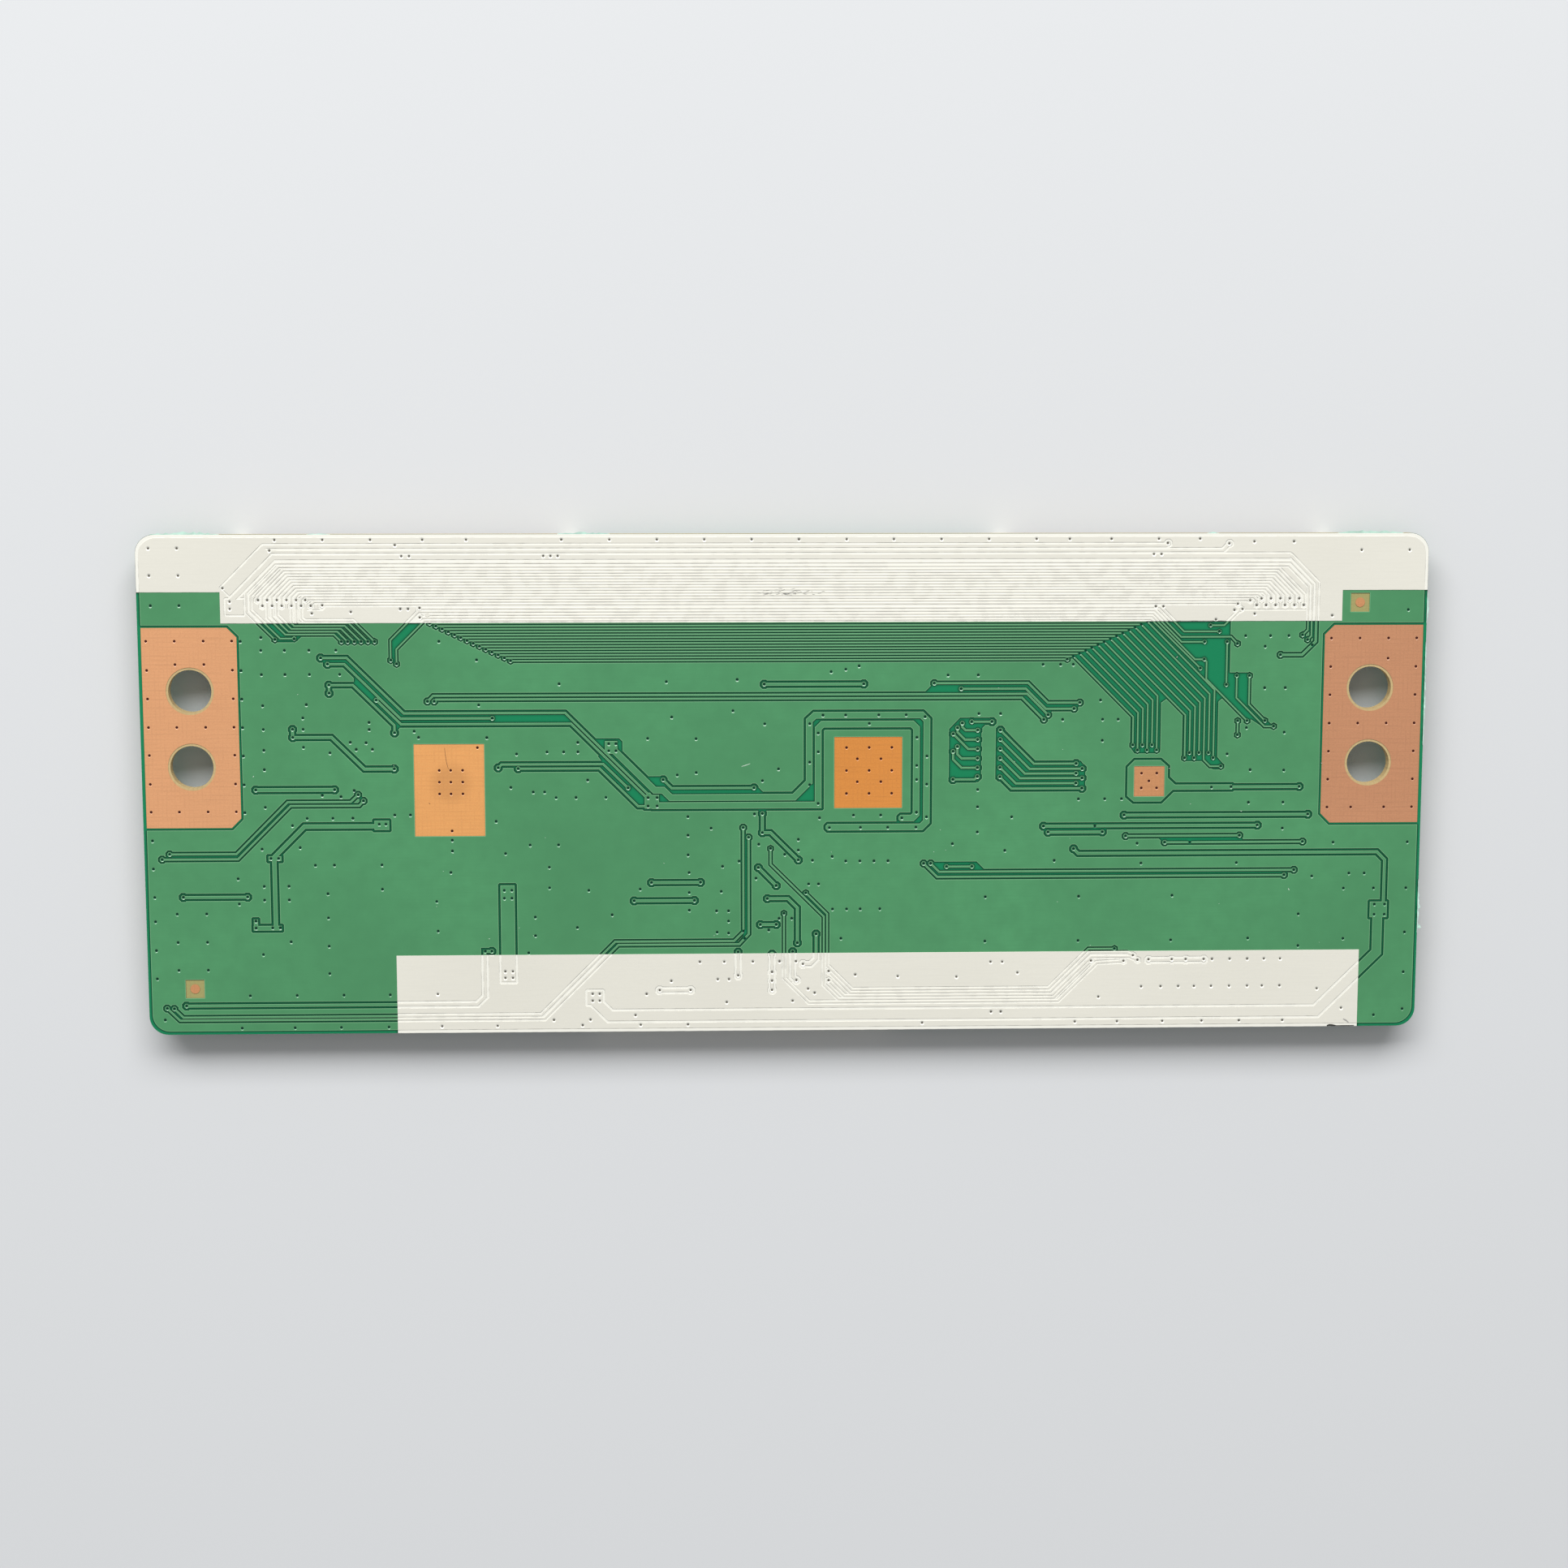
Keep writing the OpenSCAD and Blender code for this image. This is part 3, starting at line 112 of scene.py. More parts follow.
LEFT_PAD_VIAS = [
    *grid((-66.9, -63.95, -60.95, -58.0), (15.4, 6.35, -2.6)), *row(12.95, -63.95, -60.95),
    *grid((-66.9, -58.0), (12.35, 9.35, 3.4, 0.35)),
    *column(-57.1, 15.35, 12.3, 9.3, 6.3, 3.3, 0.25, -2.7),
]
RIGHT_PAD_VIAS = [
    *grid((57.65, 60.7, 63.75, 66.75), (15.4, 6.35)), (63.75, 13.25),
    *grid((57.65, 66.75), (12.38, 9.38, 3.35, 0.35)), *row(-2.65, 57.65, 60.2, 63.75, 66.75),
]
HEAT_PAD_VIAS = [
    *grid((-36.65, -35.45, -34.2), (1.7, 0.45, -0.8)), (-35.4, -4.75), (-32.6, 4.1),
    *grid((6.3, 8.7, 11.1), (3.95, 1.5, -0.95)), *grid((7.45, 9.95), (2.75, 0.3)),
    *grid((37.7, 39.33), (1.08, -0.5)), (38.5, 0.25),
]
RING_VIAS = [
    *column(2.4, 6.5, 2.4, 0.0), *row(7.4, 3.8, 6.2, 9.7, 12.6), (14.6, 7.2),
    *column(14.82, 3.0, 0.0, -3.5), *row(-4.6, 13.7, 10.7, 7.8, 4.5), *column(3.3, -2.0, 3.5, 5.5),
    (8.7, 6.5), *column(13.75, 5.0, 2.0, 0.5, -3.0), (12.2, -3.6),
]
STRAP_VIAS = [
    *grid((-18.8, -18.05), (4.45, 3.7)), *grid((-14.7, -13.75), (-1.3, -2.2)),
    *grid((-20.75, -20.0), (-22.4, -23.15)), *grid((63.05, 64.15), (-13.2, -14.3)),
    *grid((-30.0, -29.2), (-11.15, -12.0, -19.9, -20.6)), *row(-4.0, -43.05, -42.35),
    *row(-7.6, -54.5, -53.7), *column(-56.25, -14.3, -15.05), *row(-15.03, -54.5, -53.7),
    *row(-17.7, -32.1, -31.4),
]
LEFT_FIELD_VIAS = [
    *row(19.1, -66.3, -63.35), *row(14.4, -55.0, -52.55, -50.0, -47.2),
    *row(11.87, -55.0, -52.55, -50.0, -46.85), *column(-54.95, 15.75, 8.6, 6.1, 3.9, 1.85, -2.15),
    (-36.45, 15.3), (-50.4, 8.7), *column(-50.8, 7.3, 6.1, 4.2), (-48.05, 3.6), (-45.9, 4.7),
    (-44.25, 4.65), (-45.3, 3.95), (-43.6, 3.95), *column(-43.9, 6.8, 6.05), (-39.2, 5.85), (-38.75, 5.2),
    (-48.95, -0.9), (-47.0, -1.05), (-45.6, -0.4), *column(-66.85, -5.65, -8.65), (-55.4, -6.6),
    (-52.15, -4.1), (-51.4, -6.45), *row(-3.35, -50.6, -47.9, -45.8), *row(-3.03, -41.4, -39.75),
    *row(-8.35, -49.85, -47.85, -42.85), *column(-35.4, -5.75, -6.9),
]
MIDDLE_FIELD_VIAS = [
    (-32.55, 13.35), (-23.95, 10.8), (-12.7, 11.0), (-5.25, 11.2), (-32.4, 8.6), (-31.6, 5.15),
    (-28.5, 3.4), *row(3.6, -25.3, -23.55, -22.05), (-22.05, 4.6), (-29.15, -0.15),
    *row(-0.65, -26.8, -25.6), *row(-1.25, -24.4, -22.3, -19.15), (-21.05, 0.6), (-30.75, -3.75),
    (-29.8, -7.2), (-25.2, -8.7), *row(-6.3, -27.2, -24.2), (-12.15, 7.25), (-9.6, 4.95), (-14.7, 5.0),
    (-5.7, 7.9), (-2.35, 6.5), (-11.6, 1.1), (-9.6, 1.35), (-0.9, 1.7), (-2.6, 0.45), (-8.05, -4.6),
    (-5.1, -8.15), (-6.85, -8.7), *column(-10.5, -3.35, -5.35, -7.45), (-3.45, -3.1), (-3.0, -6.35),
    (-0.25, -7.45), (4.65, 12.0), (6.2, 12.25), (7.6, 12.6), *row(11.6, 17.0, 20.2),
    *row(12.7, 27.05, 28.9, 30.25), *row(7.5, 20.3, 22.6), (33.2, 8.9), *row(6.85, 29.2, 33.45, 35.1),
    (33.45, 4.6), *column(20.25, -0.6, -2.45, -5.15), (17.6, -6.4), (23.2, -7.15), (23.9, -3.55),
    (28.5, -8.25), *row(-1.65, 31.0, 33.8, 35.6), (3.45, -3.55), *row(-3.28, 7.05, 9.95),
    *column(1.2, -5.85, -7.0), (2.7, -8.1), (4.8, -7.7), *row(-8.2, 6.25, 7.75, 9.25, 10.75),
]
RIGHT_FIELD_VIAS = [
    (65.75, 18.4), *row(15.68, 48.5, 51.15, 53.1), (50.6, 14.55), *row(10.15, 50.65, 52.85), (46.8, 3.1),
    (52.85, 5.4), (49.3, 1.4), (49.2, -2.1), (48.8, 5.9), *column(52.9, 1.35, -2.1, -4.9),
    *row(-6.45, 37.35, 58.4, 66.4), *row(-8.6, 37.8, 48.05), (45.2, -0.45), (56.2, -10.1),
    *row(-9.8, 60.2, 61.85), *row(-11.43, 59.65, 62.9, 66.4), (41.2, -12.1), (41.15, -16.95),
    (49.45, -16.8), (54.85, -14.2), (54.9, -17.65), (59.75, -16.9), *column(66.4, -16.25, -20.6, -24.65),
    (63.3, -25.3),
]
LOWER_FIELD_VIAS = [
    *column(-66.8, -11.7, -14.3, -17.4, -20.45), *grid((-64.5, -61.4), (-13.5, -16.55, -19.55)),
    (-58.0, -9.75), (-57.95, -12.45), (-52.6, -16.55), (-55.55, -17.9),
    *grid((-55.28, -52.68), (-10.58, -12.05)), *column(-48.6, -11.4, -14.0, -17.05, -20.0),
    (-42.85, -10.95), (-35.6, -9.2), (-37.15, -12.3), (-37.05, -15.5),
    *row(-22.35, -57.05, -52.1, -47.15, -42.25), *row(-25.85, -58.0, -52.4, -47.5, -42.45),
    (-66.1, -24.9), (-25.2, -10.9), (-21.05, -11.2), (-22.3, -15.2), (-18.6, -13.85), (-27.5, -17.9),
    (-15.6, -11.1), *column(-26.75, -14.05, -16.05), *column(-10.4, -9.35, -11.5, -13.4), (-7.0, -11.4),
    (-7.5, -13.5), *column(-6.23, -13.5, -14.6, -15.9), (-7.45, -15.8), (-3.3, -10.0), (-1.95, -15.6),
    (-0.85, -14.35), *row(-10.65, 2.3, 3.35), *row(-13.37, 4.85, 6.35, 7.8, 9.9), (0.5, -14.35),
    (5.75, -16.55), *grid((21.17, 31.17), (-12.15, -16.95)),
]
LOWER_BAND_VIAS = [
    (-37.2, -22.3), *row(-25.8, -36.8, -30.9, -21.85, -15.65, -10.6, 14.5, 30.95, 35.5, 40.4),
    *row(-25.8, 44.65, 48.7, 53.4), *row(-25.2, -24.9, -21.0), (-16.2, -24.75), (-15.0, -22.45),
    (-12.35, -21.05),
    *row(-19.0, -9.3, -6.7, -3.65, -0.8, 0.95), *row(-20.9, -7.4, -6.2), (-6.45, -23.4),
    *column(-1.6, -20.15, -21.1, -22.1), (1.0, -21.05), (2.25, -22.0), (2.95, -22.45), (0.6, -23.3),
    *column(4.45, -20.1, -21.1), (7.3, -20.5), (11.85, -20.7), (18.15, -20.8), (24.7, -20.4),
    *row(-19.2, 21.8, 23.05), *row(-24.65, 21.9, 22.95), (33.45, -23.1), (32.6, -19.15), (57.05, -22.35),
    *row(-19.05, 38.8, 41.3, 42.8, 44.75, 45.65, 47.55, 49.45, 51.25, 53.0), (59.75, -24.5),
    *row(-22.0, 38.05, 40.15, 42.05, 43.75, 45.6, 47.55, 49.5, 51.1, 53.0),
]
BUS_VIAS = [
    *[(-29.0 - 0.645 * k, 13.25 + 0.305 * k) for k in range(14)],
    *[(29.6 + 0.65 * k, 13.25 + 0.305 * k) for k in range(14)],
    *[(36.7 + 0.51 * k, (4.1, 3.55)[k % 2]) for k in range(6)],
    *[(42.25 + 0.51 * k, (2.7, 3.25)[k % 2]) for k in range(7) if k != 4],
]
LAND_VIAS = [
    (-40.9, 12.95), (43.75, 12.25), (44.15, 13.2), (44.15, 15.05), (-41.5, 13.35), (47.65, 14.85),
    (45.7, 16.15), (48.85, 6.65), (46.55, 15.05), (46.55, 10.5), (47.65, 11.45), (51.7, 6.05),
    (49.0, 11.45), (50.75, 6.65), (47.85, 6.65), (47.85, 5.15), (46.15, 1.8), (-51.5, 15.6),
    (54.55, 15.75), (-53.5, 15.55), (55.1, 15.25), (55.62, 14.68), (52.25, 13.65), (44.75, 16.8),
    *row(15.3, -46.6, -45.95, -45.25, -44.55, -43.85, -43.15), (-51.9, 6.1), (-41.35, 1.88),
    (-63.8, -11.7), (-57.05, -11.7), (-14.4, -10.4), (-9.2, -10.4), (-16.25, -12.35), (-9.85, -12.35),
    (-3.05, -8.85), (-1.15, -10.8), (-2.1, -12.2), (1.1, -17.0), (-2.85, -15.0), (-1.15, -15.0),
    (-2.4, 10.7), (8.1, 10.7), (27.3, -4.55), (50.2, -4.55), (32.8, -4.55), (27.8, -5.2), (33.6, -5.2),
    (35.9, -3.4), (55.6, -3.4), (-2.62, -3.05), (1.2, -8.05), (43.0, -6.35), (-65.1, -7.1),
    (-45.2, -0.85), (-65.9, -7.65), (-44.65, -1.5), (14.55, -8.5), (53.2, -9.95), (15.3, -8.5),
    (54.25, -9.4), (17.0, -8.85), (19.7, -8.85), (-37.75, 9.0), (27.65, 7.35), (-37.05, 9.0),
    (27.2, 6.85), (15.55, 10.75), (31.0, 8.65), (18.4, 10.15), (30.4, 8.0), (36.1, -5.65), (48.3, -5.65),
    (40.3, -6.35), (55.1, -6.35), (19.55, 6.65), (21.7, 6.65), (18.55, 6.5), (18.05, 6.0), (17.6, 5.35),
    (18.05, 4.0), (17.6, 3.5), (17.6, 0.5), (20.2, 0.8), *column(20.2, 5.75, 4.75, 3.75, 2.75, 1.75),
    *column(22.6, 5.75, 4.75, 3.75, 2.75, 1.75, 0.75), *column(30.7, 2.15, 1.1, 0.05),
    *column(31.35, 1.6, 0.6, -0.5), (-48.8, 13.6), (-48.1, 12.95), (-31.0, 7.2), (-48.0, 9.9),
    (-48.0, 10.75), (-41.25, 5.7), (-43.1, 9.15), (-30.45, 1.95), (-16.8, -0.25), (-28.35, 1.85),
    (-13.1, 0.6), (-3.5, -0.3), (-55.9, -0.3), (-47.65, -0.3), (-65.1, -23.7), (-4.65, -4.55),
    (-65.85, -23.65), (-4.08, -5.6), (-63.8, -23.4), (-5.22, -17.95), (3.1, -16.05), (2.0, -11.6),
    (-1.75, -6.8), (-0.33, -13.8), (35.1, -17.85), (37.1, -18.6), (37.6, -19.1), (36.1, -19.2),
    (-51.9, 5.25), (-2.62, -5.1), (-4.65, -15.7), (-4.5, -16.5), (0.6, -17.95), (30.55, -7.0),
    (54.6, -0.42), (47.3, -0.42), (-13.6, -22.05), (-10.3, -22.05), (1.7, -19.3), (-5.22, -20.5),
]
ALL_VIAS = (
    UPPER_BAND_VIAS + LEFT_PAD_VIAS + RIGHT_PAD_VIAS + HEAT_PAD_VIAS + RING_VIAS + STRAP_VIAS
    + LEFT_FIELD_VIAS + MIDDLE_FIELD_VIAS + RIGHT_FIELD_VIAS + LOWER_FIELD_VIAS + LOWER_BAND_VIAS
    + BUS_VIAS + LAND_VIAS
)
INK_NODES = ("legend_band_upper", "legend_band_lower")
COPPER_NODES = (
    "ground_pad_left", "ground_pad_right", "heat_pad_regulator", "heat_pad_controller", "heat_pad_gamma",
)
# Edges of the ink bands in millimetres; between its steps the upper band reaches lower
UPPER_BAND_EDGE = 20.5
UPPER_STEP_EDGE = 17.25
UPPER_STEP_ENDS = (-59.1, 58.7)
LOWER_BAND_EDGE = -18.1
LOWER_BAND_ENDS = (-41.5, 61.5)


def between(value, ends):
    return ends[0] < value < ends[1]


def zone_of(x, y):
    """Name of the node whose face lies open at a place in millimetres."""
    for node in COPPER_NODES:
        low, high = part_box(node)
        if between(x, (low.x / MM, high.x / MM)) and between(y, (low.y / MM, high.y / MM)):
            return node
    if y > UPPER_BAND_EDGE or (y > UPPER_STEP_EDGE and between(x, UPPER_STEP_ENDS)):
        return "legend_band_upper"
    if y < LOWER_BAND_EDGE and between(x, LOWER_BAND_ENDS):
        return "legend_band_lower"
    return "solder_mask_back"


def sorted_vias():
    """Places of the vias by zone."""
    zones = {}
    for x, y in ALL_VIAS:
        zones.setdefault(zone_of(x, y), []).append((x, y))
    return zones


# Meshes

# Corners nearer than this, in metres, become one
WELD = 1e-8


def new_object(name, bm, *materials):
    """Links an object with the bmesh's shape to the scene."""
    mesh = bpy.data.meshes.new(name)
    bm.to_mesh(mesh)
    bm.free()
    for material in materials:
        mesh.materials.append(material)
    made = bpy.data.objects.new(name, mesh)
    bpy.context.scene.collection.objects.link(made)
    return made


def mesh_object(name, bm, body, slot, *materials):
    """Makes a piece from a bmesh and lets it ride on a body."""
    piece = new_object(name, bm, *materials)
    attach(piece, body)
    return piece


def add_dimple(bm, x, y, top, profile, sides):
    """Adds the closed turned body of a via dimple; each ring names the material of the wall below it."""
    x, y = x * MM, y * MM
    turns = [math.tau * i / sides for i in range(sides)]
    rings = []
    for r, z, _ in profile:
        corners = [(x + r * MM * math.cos(a), y + r * MM * math.sin(a), top + z * MM) for a in turns]
        rings.append([bm.verts.new(corner) for corner in corners])
    bm.faces.new(rings[0])
    bm.faces.new(list(reversed(rings[-1]))).material_index = profile[-1][2]
    for (_, _, material), upper, lower in zip(profile, rings, rings[1:]):
        for i in range(sides):
            j = (i + 1) % sides
            bm.faces.new((upper[j], upper[i], lower[i], lower[j])).material_index = material


def add_loft(bm, rows):
    """Joins rows of corners, each a closed loop, into a closed body."""
    for a, b in zip(rows, rows[1:]):
        for i in range(len(a)):
            j = (i + 1) % len(a)
            bm.faces.new((a[i], a[j], b[j], b[i]))
    bm.faces.new(rows[0])
    bm.faces.new(list(reversed(rows[-1])))


def add_block(bm, low, high):
    """Adds a closed box between two corners."""
    x0, y0, z0 = low
    x1, y1, z1 = high
    corners = [bm.verts.new((x, y, z)) for x in (x0, x1) for y in (y0, y1) for z in (z0, z1)]
    for quad in ((0, 1, 3, 2), (4, 6, 7, 5), (0, 4, 5, 1), (2, 3, 7, 6), (0, 2, 6, 4), (1, 5, 7, 3)):
        bm.faces.new([corners[i] for i in quad])


def welded(node):
    """Closed copy of a CAD node's mesh."""
    bm = bmesh.new()
    bm.from_mesh(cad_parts[node].data)
    bmesh.ops.remove_doubles(bm, verts=bm.verts, dist=WELD)
    return bm


def cut(piece, cutter_bm, *materials):
    """Takes the cutter's bodies out of a piece; the walls keep the cutter's material numbers."""
    bmesh.ops.recalc_face_normals(cutter_bm, faces=cutter_bm.faces)
    cutter = new_object("cutter", cutter_bm, *materials)
    step = piece.modifiers.new("dimples", "BOOLEAN")
    step.operation = "DIFFERENCE"
    step.solver = "MANIFOLD"
    step.object = cutter
    graph = bpy.context.evaluated_depsgraph_get()
    result = bpy.data.meshes.new_from_object(piece.evaluated_get(graph))
    if len(result.polygons) <= len(piece.data.polygons):
        raise RuntimeError(piece.name + ": the dimples were not cut")
    piece.modifiers.clear()
    used = (piece.data, cutter.data)
    piece.data = result
    bpy.data.objects.remove(cutter)
    for mesh in used:
        bpy.data.meshes.remove(mesh)


def dimpled_film(node, name, slot, dimples, sides, *materials):
    """Stands for a film or pad node of the board, with a bowl at each via: (places, level, profile)."""
    piece = mesh_object(name, welded(node), "board", slot, *materials)
    bm = bmesh.new()
    for places, top, profile in dimples:
        for x, y in places:
            add_dimple(bm, x, y, top, profile, sides)
    cut(piece, bm, *materials)
    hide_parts(node)


def dress(material, *nodes):
    """Gives CAD nodes a finish in place of their plain one."""
    for node in nodes:
        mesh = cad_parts[node].data
        for i in range(len(mesh.materials)):
            mesh.materials[i] = material


# Shader helpers


def feed(tree, socket, value):
    """Links an input to a socket, or sets it to a number, a vector or a colour."""
    if isinstance(value, bpy.types.NodeSocket):
        tree.links.new(value, socket)
    elif socket.type == "RGBA":
        socket.default_value = (*tuple(value)[:3], 1.0)
    else:
        socket.default_value = value


def new_node(tree, kind, values=None, **settings):
    """Adds a node, with settings and with values for its inputs by name or number."""
    made = tree.nodes.new(kind)
    for key, value in settings.items():
        setattr(made, key, value)
    for key, value in (values or {}).items():
        feed(tree, made.inputs[key], value)
    return made


def math_node(tree, operation, a, b=0.0):
    return new_node(tree, "ShaderNodeMath", {0: a, 1: b}, operation=operation).outputs[0]


def remap(tree, value, low, high, to_low=0.0, to_high=1.0):
    """Spreads a value from one range to another, without going past its ends."""
    ends = {"From Min": low, "From Max": high, "To Min": to_low, "To Max": to_high}
    return new_node(tree, "ShaderNodeMapRange", {"Value": value, **ends}).outputs["Result"]


def mixed(tree, factor, a, b):
    """Colour between two colours, each a tuple or a socket."""
    return new_node(tree, "ShaderNodeMix", {0: factor, 6: a, 7: b}, data_type="RGBA").outputs[2]


def axes(tree, vector):
    """Parts of a vector by the names of the axes."""
    return new_node(tree, "ShaderNodeSeparateXYZ", {0: vector}).outputs


def scaled(colour, factor):
    return tuple(min(1.0, c * factor) for c in tuple(colour)[:3])


def new_group(name, inputs, outputs):
    """Empty shader node group: a vector and named numbers go in, named numbers come out."""
    group = bpy.data.node_groups.new(name, "ShaderNodeTree")
    sockets = group.interface
    sockets.new_socket("Vector", in_out="INPUT", socket_type="NodeSocketVector")
    for label, number in inputs.items():
        sockets.new_socket(label, in_out="INPUT", socket_type="NodeSocketFloat").default_value = number
    for label in outputs:
        sockets.new_socket(label, in_out="OUTPUT", socket_type="NodeSocketFloat")
    return group, group.nodes.new("NodeGroupInput").outputs, group.nodes.new("NodeGroupOutput").inputs


def grain_group():
    """Fine moulded or printed grain, with a slow drift of tone."""
    name = "Surface grain"
    if name in bpy.data.node_groups:
        return bpy.data.node_groups[name]
    group, ins, outs = new_group(name, {"Fine Scale": 9000.0, "Drift Scale": 60.0}, ("Grain", "Drift"))
    for scale, label, detail in (("Fine Scale", "Grain", 3.0), ("Drift Scale", "Drift", 2.0)):
        values = {"Vector": ins["Vector"], "Scale": ins[scale], "Detail": detail}
        noise = new_node(group, "ShaderNodeTexNoise", values).outputs["Fac"]
        feed(group, outs[label], remap(group, noise, 0.3, 0.7))
    return group


def weave_group():
    """Print-through of the glass cloth: crossed threads, and long streaks in both directions."""
    name = "Glass weave"
    if name in bpy.data.node_groups:
        return bpy.data.node_groups[name]
    group, ins, outs = new_group(name, {"Thread": 0.46 * MM}, ("Weave", "Streak"))
    place = axes(group, ins["Vector"])
    turn = math_node(group, "DIVIDE", math.tau, ins["Thread"])
    threads, streaks = [], []
    for axis, scale in (("X", (5200.0, 420.0, 260.0)), ("Y", (240.0, 5600.0, 260.0))):
        stretch = new_node(group, "ShaderNodeMapping", {"Vector": ins["Vector"], "Scale": scale}).outputs[0]
        lines = new_node(group, "ShaderNodeTexNoise", {"Vector": stretch, "Scale": 1.0, "Detail": 2.0})
        streak = remap(group, lines.outputs["Fac"], 0.38, 0.68)
        wave = math_node(group, "SINE", math_node(group, "MULTIPLY", place[axis], turn))
        threads.append(math_node(group, "MULTIPLY", remap(group, wave, -0.2, 1.0), streak))
        streaks.append(streak)
    fainter = math_node(group, "MULTIPLY", streaks[0], 0.5)
    feed(group, outs["Weave"], math_node(group, "MAXIMUM", *threads))
    feed(group, outs["Streak"], math_node(group, "MAXIMUM", fainter, streaks[1]))
    return group


def relief_group():
    """How high a point of a film lies between the floor of its gaps and its face."""
    name = "Film relief"
    if name in bpy.data.node_groups:
        return bpy.data.node_groups[name]
    group, ins, outs = new_group(name, {"Floor": 0.0, "Face": 1.0}, ("Raised",))
    height = axes(group, ins["Vector"])["Z"]
    feed(group, outs["Raised"], remap(group, height, ins["Floor"], ins["Face"]))
    return group


class Finish:
    """A material under construction: object coordinates, a Principled shader and shortcuts to the groups."""

    def __init__(self, name, roughness=0.5, metallic=0.0, gloss=0.5):
        self.material = bpy.data.materials.new(name)
        self.material.use_nodes = True
        self.tree = self.material.node_tree
        self.tree.nodes.clear()
        out = self.tree.nodes.new("ShaderNodeOutputMaterial")
        values = {"Roughness": roughness, "Metallic": metallic, "Specular IOR Level": gloss}
        self.shader = new_node(self.tree, "ShaderNodeBsdfPrincipled", values)
        self.tree.links.new(self.shader.outputs[0], out.inputs["Surface"])
        self.coords = self.tree.nodes.new("ShaderNodeTexCoord").outputs["Object"]

    def group(self, tree, *numbers):
        """Adds a shared group, with numbers for the inputs that follow its vector."""
        made = new_node(self.tree, "ShaderNodeGroup", node_tree=tree)
        for socket, value in zip(made.inputs, (self.coords, *numbers)):
            feed(self.tree, socket, value)
        return made.outputs

    def grain(self, fine, drift):
        return self.group(grain_group(), fine, drift)

    def toned(self, factor, colour, low, high):
        """Colour that the factor spreads between two strengths."""
        return mixed(self.tree, factor, scaled(colour, low), scaled(colour, high))

    def tinted(self, tone, where, share, colour, strength):
        """Tone that goes a share of the way to a strength of the colour where the socket is high."""
        factor = math_node(self.tree, "MULTIPLY", where, share)
        return mixed(self.tree, factor, tone, scaled(colour, strength))

    def colour(self, socket):
        feed(self.tree, self.shader.inputs["Base Color"], socket)

    def roughness(self, socket, low, high):
        feed(self.tree, self.shader.inputs["Roughness"], remap(self.tree, socket, 0.0, 1.0, low, high))

    def openness(self, reach, low, high, rays=6, inside=False):
        """Share of open space, or of solid, within a reach in millimetres, spread from low to high."""
        settings = {"samples": rays, "inside": inside}
        near = new_node(self.tree, "ShaderNodeAmbientOcclusion", {"Distance": reach * MM}, **settings)
        return remap(self.tree, near.outputs["AO"], low, high)

    def bump(self, height, depth, strength=1.0, edge=0.0, soft=1.0):
        """Bump, in millimetres, over normals that lean towards a rounded edge by the share soft."""
        tree = self.tree
        values = {"Height": height, "Distance": depth * MM, "Strength": strength}
        if edge:
            flat = tree.nodes.new("ShaderNodeNewGeometry").outputs["True Normal"]
            rounded = new_node(tree, "ShaderNodeBevel", {"Radius": edge * MM}, samples=8).outputs[0]
            lean = new_node(tree, "ShaderNodeMix", {0: soft, 4: flat, 5: rounded}, data_type="VECTOR")
            unit = new_node(tree, "ShaderNodeVectorMath", {0: lean.outputs[1]}, operation="NORMALIZE")
            values["Normal"] = unit.outputs[0]
        feed(tree, self.shader.inputs["Normal"], new_node(tree, "ShaderNodeBump", values).outputs[0])


def mask_finish(name, colours, floor, face):
    """Green solder mask: pale over copper, paler at edges where it thins and where a highlight is painted,
    deep green between tracks, with painted shade that darkens narrow gaps.
    """
    made = Finish(name, roughness=0.36, gloss=0.28)
    green = colours.mask_face
    raised = made.group(relief_group(), floor, face)["Raised"]
    grain = made.grain(5200.0, 60.0)
    blotch = made.grain(1500.0, 520.0)
    weave = made.group(weave_group())
    # Painted shade: a gap's floor goes to the dark corner colour where walls stand near, by ambient
    # occlusion.
    unshaded_floor = made.openness(0.35, 0.92, 1.0, rays=28)
    gap = mixed(made.tree, unshaded_floor, colours.mask_corner_shade, colours.mask_floor)
    plane = made.toned(grain["Drift"], green, 0.9, 1.08)
    plane = made.tinted(plane, blotch["Drift"], 0.4, green, 0.8)
    plane = made.tinted(plane, weave["Streak"], 0.25, green, 0.88)
    # Thinned mask and painted highlight: the face goes paler near the edges of the raised film.
    rim = made.openness(0.085, 0.98, 0.72, rays=12, inside=True)
    plane = made.tinted(plane, rim, 0.66, colours.mask_rim_and_highlight, 1.0)
    made.colour(mixed(made.tree, raised, gap, plane))
    made.roughness(grain["Grain"], 0.33, 0.42)
    made.bump(grain["Grain"], 0.002, 0.35, edge=0.05, soft=0.45)
    return made.material


def bowl_finish(name, colour, roughness=0.6, gloss=0.12):
    """Sunk surface of a via: a lip smooth enough to glint, or the dull bottom, whose dark colour is painted
    shade.
    """
    made = Finish(name, roughness=roughness, gloss=gloss)
    grain = made.grain(9000.0, 300.0)
    made.colour(made.toned(grain["Drift"], colour, 0.85, 1.12))
    made.bump(grain["Grain"], 0.002, 0.3)
    return made.material


